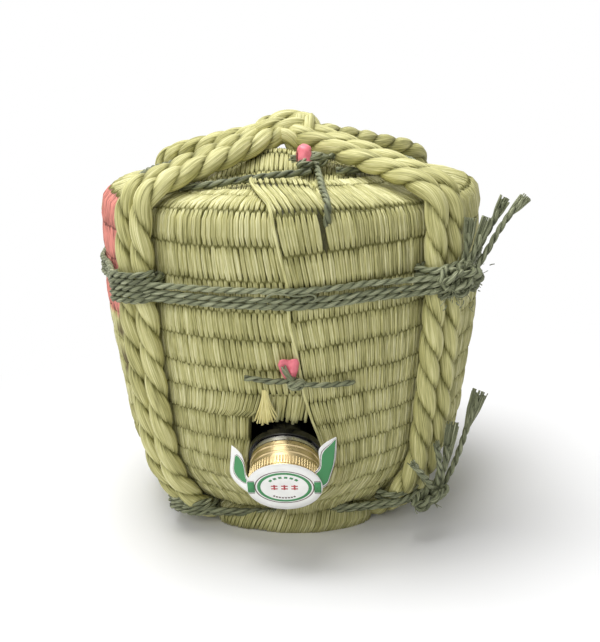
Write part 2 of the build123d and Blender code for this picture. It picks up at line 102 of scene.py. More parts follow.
def noise(tree, place, scale, detail):
    return wire(tree, "ShaderNodeTexNoise", {"Vector": place, "Scale": scale, "Detail": detail}).outputs[0]


def objectPlace(tree):
    return wire(tree, "ShaderNodeTexCoord").outputs["Object"]


def attribute(tree, name, output="Fac"):
    return wire(tree, "ShaderNodeAttribute", attribute_name=name).outputs[output]


def addRelief(tree, shader, strength, distance, height):
    relief = wire(tree, "ShaderNodeBump", {"Strength": strength, "Distance": distance, "Height": height})
    tree.links.new(relief.outputs[0], shader["Normal"])


def srgb(*levels):
    shares = [level / 255 for level in levels]
    return tuple(c / 12.92 if c < 0.0405 else ((c + 0.055) / 1.055) ** 2.4 for c in shares) + (1,)


def newGroup(name, inputs, outputs):
    group = bpy.data.node_groups.new(name, "ShaderNodeTree")
    for label, kind in inputs:
        group.interface.new_socket(name=label, in_out="INPUT", socket_type=kind)
    for label, kind in outputs:
        group.interface.new_socket(name=label, in_out="OUTPUT", socket_type=kind)
    return group, group.nodes.new("NodeGroupInput").outputs, group.nodes.new("NodeGroupOutput").inputs


def newMaterial(name):
    material = bpy.data.materials.new(name)
    material.use_nodes = True
    return material, material.node_tree, material.node_tree.nodes["Principled BSDF"].inputs


# plant fibre: fine lines along the z of a piece's own fibre attribute, a tint for each stem that also carries
# the pieces' painted shade, slow patches
fibreLook = {
    "stretch": (1, 1, 0.04), "fineScale": 3000.0, "broadScale": 900.0, "patchScale": 30.0,
    "fineWeight": 1.3, "broadWeight": 0.7, "tintWeight": 0.3, "smooth": 0.66, "coarse": 0.46,
}


def makeFibreGroup():
    colour, number = "NodeSocketColor", "NodeSocketFloat"
    group, given, out = newGroup(
        "plantFibre",
        [("Pale", colour), ("Middle", colour), ("Deep", colour), ("Fineness", number),
         ("Patchiness", number)],
        [("Color", colour), ("Roughness", number), ("Height", number)],
    )
    fibre = {0: attribute(group, "fibre", "Vector"), 1: fibreLook["stretch"]}
    fibre = wire(group, "ShaderNodeVectorMath", fibre, operation="MULTIPLY").outputs[0]
    fine = noise(group, fibre, calc(group, "MULTIPLY", given["Fineness"], fibreLook["fineScale"]), 2.0)
    broad = noise(group, fibre, calc(group, "MULTIPLY", given["Fineness"], fibreLook["broadScale"]), 1.0)
    patch = noise(group, objectPlace(group), fibreLook["patchScale"], 2.0)
    level = swing(group, fine, fibreLook["fineWeight"], 0.5)
    level = swing(group, broad, fibreLook["broadWeight"], level)
    level = swing(group, attribute(group, "tint"), fibreLook["tintWeight"], level)
    level = swing(group, patch, given["Patchiness"], level)
    shade = blendColour(group, remap(group, level, 0.0, 0.5), given["Deep"], given["Middle"])
    shade = blendColour(group, remap(group, level, 0.5, 1.0), shade, given["Pale"])
    group.links.new(shade, out["Color"])
    group.links.new(remap(group, fine, 0.2, 0.8, fibreLook["smooth"], fibreLook["coarse"]), out["Roughness"])
    group.links.new(calc(group, "MULTIPLY_ADD", broad, 0.6, fine), out["Height"])
    return group


fibreGroup = makeFibreGroup()
dyes = {"panel": (255, 150, 140), "panelShare": 0.9, "stroke": (72, 48, 34), "strokeShare": 0.75}


# the dye attribute is 1 on the dyed panel and -1 on a brown stroke
def dyedColour(tree, colour):
    dye = attribute(tree, "dye")
    brown = calc(tree, "MAXIMUM", calc(tree, "MULTIPLY", dye, -1.0), 0.0)
    brown = calc(tree, "MULTIPLY", brown, dyes["strokeShare"])
    colour = blendColour(tree, brown, colour, srgb(*dyes["stroke"]))
    washed = {"Color": colour, "Saturation": 0.2, "Value": 1.25}
    washed = wire(tree, "ShaderNodeHueSaturation", washed).outputs[0]
    ink = {0: dyes["panelShare"], 6: washed, 7: srgb(*dyes["panel"])}
    ink = wire(tree, "ShaderNodeMix", ink, data_type="RGBA", blend_type="MULTIPLY").outputs[2]
    return blendColour(tree, calc(tree, "MAXIMUM", dye, 0.0), colour, ink)


def fibreMaterial(name, pale, middle, deep, fineness=1.0, bump=0.5, dyed=False):
    material, tree, shader = newMaterial(name)
    grain = wire(tree, "ShaderNodeGroup", node_tree=fibreGroup)
    for label, value in [("Pale", pale), ("Middle", middle), ("Deep", deep)]:
        grain.inputs[label].default_value = srgb(*value)
    grain.inputs["Fineness"].default_value = fineness
    grain.inputs["Patchiness"].default_value = 0.3
    colour = grain.outputs["Color"]
    if dyed:
        colour = dyedColour(tree, colour)
    tree.links.new(colour, shader["Base Color"])
    tree.links.new(grain.outputs["Roughness"], shader["Roughness"])
    addRelief(tree, shader, bump, 0.0003, grain.outputs["Height"])
    shader["Specular IOR Level"].default_value = 0.35
    return material


strawColours = {  # pale, middle and deep
    "mat": ((240, 237, 190), (194, 190, 130), (118, 116, 62)),
    "rope": ((232, 228, 176), (190, 186, 124), (104, 102, 50)),
    # dark straw for the backing sheets, the padding and the foot's core: painted shade inside the weave
    "shade": ((92, 89, 46), (60, 58, 26), (30, 28, 10)),
    "cut": ((250, 244, 190), (222, 212, 146), (160, 150, 84)),
    "twine": ((194, 197, 164), (124, 129, 98), (40, 44, 30)),
}
matStraw = fibreMaterial("rushMat", *strawColours["mat"], bump=0.7, dyed=True)
ropeStraw = fibreMaterial("strawRope", *strawColours["rope"], fineness=0.9, bump=0.8)
# this dark straw stands for the shade inside the weave: painted shade
paintedShadeStraw = fibreMaterial("paintedShadeRush", *strawColours["shade"])
cutStraw = fibreMaterial("cutStraw", *strawColours["cut"], bump=0.6)
twineFibre = fibreMaterial("dyedTwine", *strawColours["twine"], fineness=1.3, bump=0.9)
print("straw and twine materials made")


# lines and directions, all in millimetres until a mesh is made; azimuth 0 is the front, 90 the right
def polar(azimuth, reach, height):
    angle = np.radians(azimuth)
    x, y = reach * np.sin(angle), -reach * np.cos(angle)
    return np.stack(np.broadcast_arrays(x, y, height), -1).astype(float)


def axesAt(azimuth):
    return polar(azimuth, 1, 0), polar(azimuth + 90, 1, 0)


def turnBetween(first, second):
    return (first - second + 180) % 360 - 180


def bell(away, width):
    return np.exp(-((away / width) ** 2))


def unit(vectors):
    return vectors / np.linalg.norm(vectors, axis=-1, keepdims=True)


def courseOf(line):
    return unit(np.gradient(line, axis=0))


def evenly(points, step):
    points = np.asarray(points, float)
    run = np.concatenate([[0], np.cumsum(np.linalg.norm(np.diff(points, axis=0), axis=1))])
    places = np.linspace(0, run[-1], max(2, int(round(run[-1] / step)) + 1))
    return np.stack([np.interp(places, run, values) for values in points.T], -1), places


def roundedLine(corners, rounds, step=0.5):
    corners = np.array(corners, float)
    points = [corners[0]]
    for before, here, after, size in zip(corners, corners[1:], corners[2:], rounds):
        back, ahead = unit(before - here), unit(after - here)
        turn = math.pi - math.acos(np.clip(back @ ahead, -1, 1))
        run = size * math.tan(turn / 2)
        middle = here + unit(back + ahead) * size / math.cos(turn / 2)
        first, last = here + back * run - middle, here + ahead * run - middle
        for share in np.linspace(0, 1, max(3, int(size * turn / step))):
            spoke = first * math.sin((1 - share) * turn) + last * math.sin(share * turn)
            points.append(middle + spoke / math.sin(turn))
    points.append(corners[-1])
    return evenly(points, step)


# outline of the wrapping from the top's middle, over the rim, down the wall and under the foot
outline = {
    "corners": [(0, 176.5), (45, 174.5), (95, 165), (95, 110), (85.5, 34), (67, 11.5), (20, 11.5)],
    "rounds": [80, 11, 300, 60, 8],
    "ropeAzimuths": (46, 138, 226, 318),
}
matLine, matRun = roundedLine(outline["corners"], outline["rounds"])
matCourse = courseOf(matLine)
onTop = (matLine[:, 1] > 165) & (matLine[:, 0] < 92)
onWall = (matRun > matRun[matLine[:, 0] > 92][0]) & (matLine[:, 1] > 11.6)


def runAtHeight(height):
    return np.interp(-np.asarray(height, float), -matLine[onWall, 1], matRun[onWall])


def runAtReach(reach):
    return np.interp(reach, matLine[onTop, 0], matRun[onTop])


def topHeight(reach):
    return np.interp(reach, matLine[onTop, 0], matLine[onTop, 1])


def reachAtRun(run):
    return np.interp(run, matRun, matLine[:, 0])


def heightAtRun(run):
    return np.interp(run, matRun, matLine[:, 1])


def ropeDistance(azimuth):
    return np.minimum.reduce([np.abs(turnBetween(azimuth, other)) for other in outline["ropeAzimuths"]])


# how far the mat swells between the ropes and is drawn in by what lies on it: depth, width and place
swell = {
    "between": (1.3, 24), "underRope": (1.3, 7.5), "waves": 0.22,
    "underGirth": (0.9, 6, 127), "underRiser": (1.6, 1.6, 12.3),
}


def matLift(azimuth, run):
    height, away = heightAtRun(run), ropeDistance(azimuth)
    (full, fullWidth), (deep, deepWidth) = swell["between"], swell["underRope"]
    lift = full * (1 - bell(away, fullWidth)) - deep * bell(away, deepWidth)
    deep, width, place = swell["underGirth"]
    lift -= deep * bell(height - place, width) * (away > 10)
    waves = np.sin(azimuth * 0.23 + run * 0.045) + np.sin(azimuth * 0.131 - run * 0.07 + 2)
    lift += swell["waves"] * (waves + np.sin(azimuth * 0.41 + 1))
    deep, width, place = swell["underRiser"]
    pinch = deep * bell(turnBetween(azimuth, place), width) * np.clip((height - 150) / 8, 0, 1)
    return lift * np.clip((reachAtRun(run) - 55) / 25, 0, 1) - pinch


def matPlace(azimuth, run, lift):
    outX = -np.interp(run, matRun, matCourse[:, 1])
    outZ = np.interp(run, matRun, matCourse[:, 0])
    lift = lift + matLift(azimuth, run)
    return polar(azimuth, reachAtRun(run) + outX * lift, heightAtRun(run) + outZ * lift)


# the mat is one sheet whose right edge lies over its left edge above the opening, and parts from it below;
# each edge is given as azimuths at reaches over the top, and at heights down the wall
sheetEdge = {
    "rightTop": [(50, -19), (57, -16.3), (68, -11.8), (77, -8.3), (86, -5.3), (91, -3.4)],
    "right": [(163, -2.5), (152, -1.0), (132, 1.6), (117, 1.7), (101, 3.6), (82, 5.4), (72.4, 7), (67, 8),
              (59.5, 9.7), (56, 10.2), (45, 11), (35, 9.5), (28, 5), (22, -2)],
    "left": [(81.1, 7), (80.9, -6.1), (73, -7.3), (69.8, -9.7), (57, -10.3), (50, -11.2), (37, -12.5),
             (30, -8), (22, -2)],
    "partsAt": 81,  # height where the two edges part
    "spread": 62,
    "topSpread": 32,
}
# how far the upper sheet stands off the lower one: along it from its edge, by height, and drawn in by the
# girth's twine
flap = {
    "lift": 2.0, "flat": 9, "fade": 13, "heights": (14, 22, 50, 80), "shares": (1.3, 1.0, 0.3, 1.0),
    "girth": (0.5, 9, 128),
}
rightRuns = np.concatenate([
    runAtReach([reach for reach, _ in sheetEdge["rightTop"]]),
    runAtHeight([height for height, _ in sheetEdge["right"]]),
])
rightAngles = [angle for _, angle in sheetEdge["rightTop"] + sheetEdge["right"]]
leftRuns = runAtHeight([height for height, _ in sheetEdge["left"]])
leftAngles = [angle for _, angle in sheetEdge["left"]]
splitRun = float(runAtHeight(sheetEdge["partsAt"]))


def edgeAngles(run):
    right = np.interp(run, rightRuns, rightAngles)
    tucked = np.maximum(right + 3, 1.5)
    return right, np.where(run < leftRuns[0], tucked, np.interp(run, leftRuns, leftAngles))


# a stalk keeps to its own side of the place where the edges part
def sideOfSplit(start, end):
    return (0.0, splitRun - 0.2) if np.mean(start) + np.mean(end) < 2 * splitRun else (splitRun + 0.2, 1e9)


def sheetAzimuth(along, run):
    right, left = edgeAngles(run)
    spread = np.interp(run, [60, 95], [sheetEdge["topSpread"], sheetEdge["spread"]])
    nearRight = np.clip(1 - along / spread, 0, 1) ** 2
    nearLeft = np.clip(1 - (360 - along) / sheetEdge["spread"], 0, 1) ** 2
    return along + right * nearRight + left * nearLeft


def flapLift(along, run):
    height = heightAtRun(run)
    deep, width, place = flap["girth"]
    share = np.interp(height, flap["heights"], flap["shares"]) - deep * bell(height - place, width)
    return flap["lift"] * np.clip(1 - (along - flap["flat"]) / flap["fade"], 0, 1) * share


# meshes: every shell is a grid of rings closed round and pinched at both ends
def gridMesh(rows, columns, count):
    bm = bmesh.new()
    bmesh.ops.create_grid(bm, x_segments=columns - 1, y_segments=rows - 1, size=0.5)
    meshes = [bpy.data.meshes.new("grid")]
    bm.to_mesh(meshes[0])
    bm.free()
    while 2 ** len(meshes) <= count:
        bm = bmesh.new()
        bm.from_mesh(meshes[-1])
        bm.from_mesh(meshes[-1])
        meshes.append(bpy.data.meshes.new("grid"))
        bm.to_mesh(meshes[-1])
        bm.free()
    bm = bmesh.new()
    for power, mesh in enumerate(meshes):
        if count >> power & 1:
            bm.from_mesh(mesh)
    for mesh in meshes:
        bpy.data.meshes.remove(mesh)
    return bm


def shellObject(name, shells, material, nodes=(), body="cask"):
    bm = bmesh.new()
    whole = bpy.data.meshes.new(name)
    places, fibres, tints, dyeing = [], [], [], []
    for shell in shells:
        block = shell["places"]
        if block.ndim == 3:
            block = block[None]
        count, rows, columns = block.shape[:3]
        grid = gridMesh(rows, columns, count)
        grid.to_mesh(whole)
        grid.free()
        bm.from_mesh(whole)
        places.append(block.reshape(-1, 3) * mm)
        fibres.append(np.broadcast_to(shell["fibre"], block.shape).reshape(-1, 3) * mm)
        for store, key in [(tints, "tint"), (dyeing, "dye")]:
            value = np.asarray(shell.get(key, 0.0), float)
            value = value.reshape(value.shape + (1,) * (3 - value.ndim))
            store.append(np.broadcast_to(value, (count, rows, columns)).reshape(-1))
    bm.to_mesh(whole)
    whole.vertices.foreach_set("co", np.concatenate(places).ravel())
    fibre = whole.attributes.new("fibre", "FLOAT_VECTOR", "POINT")
    fibre.data.foreach_set("vector", np.concatenate(fibres).ravel())
    whole.attributes.new("tint", "FLOAT", "POINT").data.foreach_set("value", np.concatenate(tints))
    if any("dye" in shell for shell in shells):
        whole.attributes.new("dye", "FLOAT", "POINT").data.foreach_set("value", np.concatenate(dyeing))
    bm.clear()
    bm.from_mesh(whole)
    bmesh.ops.remove_doubles(bm, verts=bm.verts, dist=2e-8)
    bmesh.ops.recalc_face_normals(bm, faces=bm.faces)
    for face in bm.faces:
        face.smooth = True
    bm.to_mesh(whole)
    bm.free()
    whole.materials.append(material)
    piece = bpy.data.objects.new(name, whole)
    bpy.context.scene.collection.objects.link(piece)
    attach(piece, body)
    if nodes:
        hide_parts(*nodes)
    return piece


def oneShell(body, tint=0.5):
    return {"places": body, "fibre": body, "tint": tint}


def strawPiece(name, shells, material, *nodes):
    shellObject(name, shells, material, nodes)


def twinePiece(name, shells, *nodes):
    return shellObject(name, shells, twineFibre, nodes)


def nurbsLine(points):
    curve = bpy.data.curves.new("line", "CURVE")
    curve.dimensions = "3D"
    spline = curve.splines.new("NURBS")
    spline.points.add(len(points) - 1)
    for point, place in zip(spline.points, points):
        point.co = (*place, 1)
    spline.order_u = 3
    spline.use_endpoint_u = True
    curve.resolution_u = 16
    holder = bpy.data.objects.new("line", curve)
    bpy.context.scene.collection.objects.link(holder)
    bpy.context.view_layer.update()
    mesh = bpy.data.meshes.new_from_object(holder.evaluated_get(bpy.context.evaluated_depsgraph_get()))
    line = np.array([vertex.co for vertex in mesh.vertices])
    bpy.data.objects.remove(holder)
    bpy.data.curves.remove(curve)
    bpy.data.meshes.remove(mesh)
    return line


# a line's course with two directions square to it that don't twist round it
def steady(line):
    course = courseOf(line)
    side = np.cross(course[0], (0.3, 0.2, 0.93))
    sides = []
    for direction in course:
        side = unit(side - direction * (side @ direction))
        sides.append(side)
    return course, np.array(sides), np.cross(course, sides)


# a strand laid left-handed round a smooth line; its grid turns with its fibres, so its ribs and fine lines
# run the same way, and a darkening of the side that faces the line paints the shade in the groove between
# strands
def strandShell(line, step, helix, lay, phase, radius, sides, rough=0.06, ribs=0.0, fibreTwist=0.0,
                oval=(1, 1), groove=0.0):
    line, run = evenly(line, step)
    course, right, up = steady(line)
    turn = phase - tau * run / lay
    outwards = np.cos(turn)[:, None] * right + np.sin(turn)[:, None] * up
    middle = line + outwards * helix
    course = courseOf(middle)
    first = unit(outwards - course * np.sum(outwards * course, axis=1)[:, None])
    second = np.cross(course, first)
    base = np.linspace(0, tau, sides + 1)[None]
    run = run[:, None]
    around = base + fibreTwist * run / radius
    seeds = rng.uniform(0, tau, 6)
    ripple = np.sin(3 * base + run * 0.05 / radius + seeds[0])
    ripple = ripple + np.sin(5 * base - run * 0.08 / radius + seeds[1])
    ripple = ripple + 0.8 * np.sin(2 * base + run * 0.1 / radius + seeds[2])
    ripple = ripple + 0.6 * np.sin(run * 0.3 / radius + seeds[3])
    size = radius * (1 + rough * ripple)
    if ribs:
        drift = 0.5 * np.sin(run / 9 + seeds[4]) + 0.5 * np.sin(run / 23 + seeds[5])
        size = size + ribs * np.sin(sides // 3 * base + drift)
    spoke = np.cos(around)[..., None] * first[:, None] * oval[0]
    spoke = spoke + np.sin(around)[..., None] * second[:, None] * oval[1]
    ring = middle[:, None] + size[..., None] * spoke
    ends = [np.repeat(middle[index][None, None], sides + 1, axis=1) for index in (0, -1)]
    places = np.concatenate([ends[0], ring, ends[1]])
    fibre = [radius * np.cos(base) + 37 * phase + 0 * run, radius * np.sin(base) + 0 * run, run + 0 * base]
    fibre = np.stack(fibre, -1)
    fibre = np.concatenate([fibre[:1], fibre, fibre[-1:]])
    # painted shade: the strand is darker on the side that faces the other strand
    inward = np.clip(0.5 - np.cos(around), 0, 1)
    tint = rng.uniform(0.2, 0.8) - groove * np.concatenate([inward[:1], inward, inward[-1:]])
    return {"places": places, "fibre": fibre, "tint": tint[None]}


# loose fibres side by side along a line, flat towards the viewer; fan gives their spread from start to end
def bundle(points, wide, deep, count, radius, fan=(1.0, 1.0), fray=0.06, step=2.0, wave=0.0):
    line, run = evenly(nurbsLine(points), step)
    course = courseOf(line)
    side = unit(np.cross(course, viewpoint["forward"]))
    up = np.cross(side, course)
    share = run / run[-1]
    spread = np.interp(share, np.linspace(0, 1, len(fan)), fan)
    shells = []
    for index in range(count):
        place = (index + 0.5) / count * 2 - 1
        bend = wave * np.sin(share * rng.uniform(3, 6) + rng.uniform(0, tau)) * share
        aside = place * wide / 2 * spread + bend
        above = rng.normal(0, deep) * spread + rng.normal(0, wave) * share
        fibre = line + side * aside[:, None] + up * above[:, None]
        keep = max(4, int(round(len(line) * (1 - abs(rng.normal(0, fray))))))
        phase = rng.uniform(0, tau)
        shells.append(strandShell(fibre[:keep], step, 0.0, 50, phase, radius * rng.uniform(0.75, 1.2), 5))
    return shells


# a thin closed sheet between two grids of points
def plate(front, back):
    body = np.concatenate([back, front[:, ::-1], back[:, :1]], axis=1)
    first, last = (np.concatenate([back[row], back[row][::-1], back[row][:1]])[None] for row in (0, -1))
    return np.concatenate([first, body, last])


# one stalk of the weave: a flat bunch of rushes, plump in its middle, its ends drawn in under the twining;
# the dark values are painted shade: darker on its ends, where they dive under the twining, and on its sides
# and back, between the stalks
stalk = {
    "along": (0.0, 0.035, 0.12, 0.32, 0.68, 0.88, 0.965, 1.0),
    "width": (0.0, 0.42, 0.78, 1.0, 1.0, 0.78, 0.42, 0.0),
    "rise": (-1.5, -0.75, -0.22, 0.12, 0.12, -0.22, -0.75, -1.5),
    "endPaintedShade": (-3.2, -2.8, -0.35, 0.1, 0.1, -0.35, -2.8, -3.2),
}
# a long stalk for the foot; its end values darken its ends as painted shade
longStalk = {
    "along": (0.0, 0.03, *np.arange(0.1, 0.95, 0.1), 0.97, 1.0),
    "width": (0.0, 0.42, 0.82, *[1.0] * 7, 0.82, 0.42, 0.0),
    "rise": (-1.5, -0.7, -0.2, 0.05, *[0.1] * 5, 0.05, -0.2, -0.7, -1.5),
    "endPaintedShade": (-2.0, -1.6, -0.4, *[0.1] * 7, -0.4, -1.6, -2.0),
}
# the section's dark values are painted shade on the stalk's sides and back, between the stalks
stalkSection = {
    "across": (-1.0, -0.82, -0.4, 0.0, 0.4, 0.82, 1.0, 0.0, -1.0),
    "thick": (-0.2, 0.62, 1.0, 0.6, 1.0, 0.62, -0.2, -0.6, -0.2),
    "dark": (-1.3, -0.4, 0.2, -0.5, 0.2, -0.4, -1.3, -2.0, -1.3),
}


def stalks(surface, along, start, end, width, thick, lift=0.0, lean=0.0, overrun=1.4, dye=None, shape=stalk):
    count = len(along)

    def vary(share):
        return share * rng.standard_normal((count, 1, 1))

    shares, widths, rises, endPaintedShade = (np.array(shape[key])[None, :, None] for key in shape)
    across, thickness, sidePaintedShade = (np.array(row)[None, None, :] for row in stalkSection.values())
    wide = width * (1 + vary(0.07))
    high = thick * (1 + vary(0.14))
    tilt = lean + vary(0.16)
    reachOut = overrun * (1 + vary(0.16))
    start = np.reshape(start, (-1, 1, 1)) - reachOut
    end = np.reshape(end, (-1, 1, 1)) + reachOut
    run = start + (end - start) * shares
    offset = across * wide / 2 * widths + tilt * (shares - 0.5)
    plump = 1 - (1 - thickness) * np.clip(widths, 0.3, 1)
    rise = rises + lift + vary(0.09)
    swollen = np.where(thickness < 0, thickness, thickness * np.sqrt(np.clip(plump, 0.2, 1)))
    run, offset, height = np.broadcast_arrays(run, offset, rise - thick + high * swollen)
    places = surface(np.reshape(along, (-1, 1, 1)) + 0 * run, run, offset, height)
    shift = rng.uniform(0, 400, (count, 1, 1))
    fibre = np.stack([offset + shift, height, run + shift], -1)
    # the tint takes a tone for each stalk plus the painted shade of its ends and sides
    shell = {"places": places, "fibre": fibre, "tint": rng.uniform(0, 1, (count, 1, 1)) + endPaintedShade + sidePaintedShade}
    if dye is not None:
        shell["dye"] = dye(places)
    return shell


def matSurface(along, run, offset, height, limits=(0.0, 1e9)):
    azimuth = sheetAzimuth(along, np.clip(run, *limits))
    return matPlace(azimuth + np.degrees(offset / reachAtRun(run)), run, height + flapLift(along, run))


# rows of the weave down the wall, and the margin folded over the rim
weave = {
    "count": 245,
    "firstPlace": 0.4,
    "between": (1.1, 359.5),  # places along the sheet of its outermost stalks
    "rowHeights": (149.5, 134, 120, 107, 93, 81, 69, 57, 46, 35, 25),
    "underHeight": 14,  # where the row under the fold ends
    "rimRun": 92.2,
    "marginReach": 63.5,
    "fringeReach": 55.5,
    "fringe": (2.2, 1.2),  # width and thickness
    "leftShort": 12,  # how much further out the left sheet's margin ends
    "leftSide": (285, 325),  # places along the sheet between which that begins
    "slit": 12.6,  # place along the sheet of the top row's missing stalk
    "thick": 1.5,
    "overlap": 1.12,  # width of a stalk over the distance to the next
    "rowDrop": 4.0,  # how much lower the rows of the upper sheet lie at its edge
    "dropFade": 20,
    "edgeRushes": [(0.0, -0.5), (0.12, 0.1), (0.45, 0.35)],  # place along the sheet and lift
    "edgeRadius": 0.42,
    "edgeFoot": 23,  # height where the edge's rushes end
    # lifts of the backing, a dark sheet of painted shade under the stalks
    "shadeBacking": (-1.6, -3.6),
}
# left, right, lower and upper bounds of the dyed panel, the bare bars in it and the brown strokes
panel = {
    "area": (-100, -55, 106, 166),
    "bars": [(-92, -88, 142, 158), (-92, -80, 149, 151), (-84, -80, 142, 158), (-92, -80, 128, 130),
             (-88, -84, 122, 136)],
    "strokes": [(-66, -50, 104, 106.5), (-60, -57.5, 92, 110), (-66, -50, 96, 98), (-66, -50, 82, 84.5),
                (-64, -61.5, 74, 86), (-56, -53, 74, 88), (-66, -50, 74, 76), (-66, -50, 62, 64),
                (-60, -57, 52, 68), (-66, -52, 54, 56)],
}


def panelDye(places):
    azimuth = np.degrees(np.arctan2(places[..., 0], -places[..., 1]))
    height = places[..., 2]

    def within(*boxes):
        return np.logical_or.reduce([
            (azimuth > left) & (azimuth < right) & (height > lower) & (height < upper)
            for left, right, lower, upper in boxes
        ])

    inside = within(panel["area"]) & ~within(*panel["bars"])
    return inside.astype(float) - within(*panel["strokes"]).astype(float)


# places along the sheet of a row's stalks; every other row is shifted by half a stalk
def rowPlaces(shifted):
    along = (np.arange(weave["count"]) + (0.5 if shifted else 0.0)) * 360 / weave["count"]
    along += weave["firstPlace"]
    low, high = weave["between"]
    return along[(along > low) & (along < high)]


def weaveRow(index, start, end, slit=False, **more):
    step = 360 / weave["count"]
    along = rowPlaces(index % 2)
    if slit:
        along = along[np.abs(along - weave["slit"]) > step / 2]
    start, end = start + 0 * along, end + 0 * along
    middle = (start + end) / 2
    pitch = sheetAzimuth(along + step / 2, middle) - sheetAzimuth(along - step / 2, middle)
    width = np.radians(pitch) * reachAtRun(middle) * weave["overlap"]
    limits = sideOfSplit(start, end)

    def surface(*spot):
        return matSurface(*spot, limits=limits)

    def dropped(run):
        drop = weave["rowDrop"] * np.exp(-along / weave["dropFade"])
        return run + drop * np.clip((run - 60) / 20, 0, 1)

    return stalks(surface, along, dropped(start), dropped(end), width[:, None, None], weave["thick"], **more)


# smooth rushes that bind the sheet's edge, from the top down to the opening's foot
def edgeRushes():
    shells = []
    start, end = runAtReach(weave["fringeReach"] + 1), runAtHeight(weave["edgeFoot"])
    run = np.linspace(float(start), float(end), 70)
    for along, lift in weave["edgeRushes"]:
        line = matSurface(along, run, 0, lift)
        phase = rng.uniform(0, tau)
        shells.append(strandShell(line, 2.0, 0.0, 50, phase, weave["edgeRadius"], 8, rough=0.05))
    return shells


def makeMat():
    rows = [weave["rimRun"], *[float(run) for run in runAtHeight(weave["rowHeights"])]]
    shells = [
        weaveRow(index, start, end, slit=index == 0, dye=panelDye)
        for index, (start, end) in enumerate(zip(rows, rows[1:]))
    ]
    half = len(shells) // 2
    strawPiece("matWallUpper", shells[:half], matStraw, "outer_mat")
    strawPiece("matWallLower", shells[half:], matStraw, "outer_mat")
    under = weaveRow(len(rows), rows[-1], float(runAtHeight(weave["underHeight"])))
    along = rowPlaces(True)
    short = np.interp(along, weave["leftSide"], [0, weave["leftShort"]])
    marginRun, fringeRun = (runAtReach(weave[key] + short) for key in ("marginReach", "fringeReach"))
    margin = weaveRow(1, marginRun, weave["rimRun"], lift=0.3)
    size = weave["fringe"]
    fringe = stalks(matSurface, along, fringeRun, marginRun, *size, lift=0.1, lean=0.3, overrun=1.0)
    strawPiece("matMargins", [under, margin, fringe], matStraw, "outer_mat")
    strawPiece("matEdge", edgeRushes(), matStraw, "outer_mat")


# a dark sheet under the weave, seen through the gaps between the stalks: painted shade
def matShadeBacking():
    start = float(runAtReach(weave["fringeReach"])) + 2
    above = np.linspace(start, splitRun - 0.25, 50)
    below = np.linspace(splitRun + 0.25, matRun[-1] - 8, 40)
    angle, run = np.meshgrid(np.linspace(0.9, 359.5, 181), np.concatenate([above, below]))
    body = plate(*(matSurface(angle, run, 0, lift) for lift in weave["shadeBacking"]))
    strawPiece("matShadeBacking", [oneShell(body)], paintedShadeStraw, "outer_mat")


makeMat()
matShadeBacking()
print("mat woven")

# the sheet's inner end that shows inside the folded margin, its stalks running front to back and heaped up in
# one place; the backing under it, a dark sheet of painted shade, is reaches and depths
topMat = {
    "row": 13.0, "width": 2.3, "reach": 77, "ends": (-78, 78), "sides": (-75, 75), "sunk": 1.0, "thick": 1.2,
    "heap": {"high": 10.0, "place": (-6, -21), "wide": 19, "deep": 15},
    "shadeBacking": [(0, 2.4), (0, 2.4), (20, 2.4), (40, 2.4), (60, 2.4), (76, 2.4), (76, 4.5), (40, 4.5),
                (0, 4.5)],
}


def topSurface(along, run, offset, height):
    heap = topMat["heap"]
    sideways, forwards = along + offset, run
    raised = heap["high"] * bell(sideways - heap["place"][0], heap["wide"])
    raised = raised * bell(forwards - heap["place"][1], heap["deep"])
    level = topHeight(np.hypot(sideways, forwards)) - topMat["sunk"] + raised + height
    return np.stack([sideways, forwards, level], -1)


def makeTopMat():
    row, width = topMat["row"], topMat["width"]
    shells = []
    size = (width * 1.06, topMat["thick"])
    for index, start in enumerate(np.arange(*topMat["ends"], row)):
        across = np.arange(*topMat["sides"], width) + (width / 2 if index % 2 else 0)
        across = across[np.hypot(across, max(abs(start), abs(start + row)) - 3) < topMat["reach"]]
        if len(across):
            shells.append(stalks(topSurface, across, start, start + row, *size, overrun=1.0))
    strawPiece("topWeave", shells, matStraw, "top_mat")
    rings, drops = np.array(topMat["shadeBacking"], float).T
    body = polar(np.linspace(0, 360, 61)[None], rings[:, None], (topHeight(rings) - drops)[:, None])
    strawPiece("topShadeBacking", [oneShell(body)], paintedShadeStraw, "top_mat")


makeTopMat()
print("top mat woven")


# padding behind the mat, left out for half a width on both sides of the opening below a height, its straw and
# its backing drawn dark as painted shade; its cut ends and a loose fan of straw hang over the neck
padding = {
    "depth": 5.6, "thick": 4.5, "width": 4.2, "count": 150, "heights": (152, 128, 104, 80, 60, 40, 22),
    "halfWidth": 15.0, "below": 75, "shadeBacking": (-1.6, -3.4), "backed": (152, 20),
}
tuft = {
    "fringe": {
        "count": 24, "azimuths": (-8.6, 8.6), "top": 84, "bottom": 66.8, "lean": -2.6,
        "layers": [(88.6, 0.74), (87.2, 0.78)],  # reach and radius
    },
    "fan": [(-8.4, 68.6), (-7.9, 67.2), (-7.0, 67.8), (-6.3, 66.6), (-5.6, 67.4), (-4.9, 67.0), (-4.2, 68.2),
            (-3.4, 68.0), (-2.6, 69.6), (-1.9, 70.4)],  # azimuth and height of each foot
    "apex": (-5.2, 93.0, 81.2),
    "radius": 0.62,
}


def paddingSurface(along, run, offset, height):
    return matPlace(along + np.degrees(offset / reachAtRun(run)), run, height - padding["depth"])


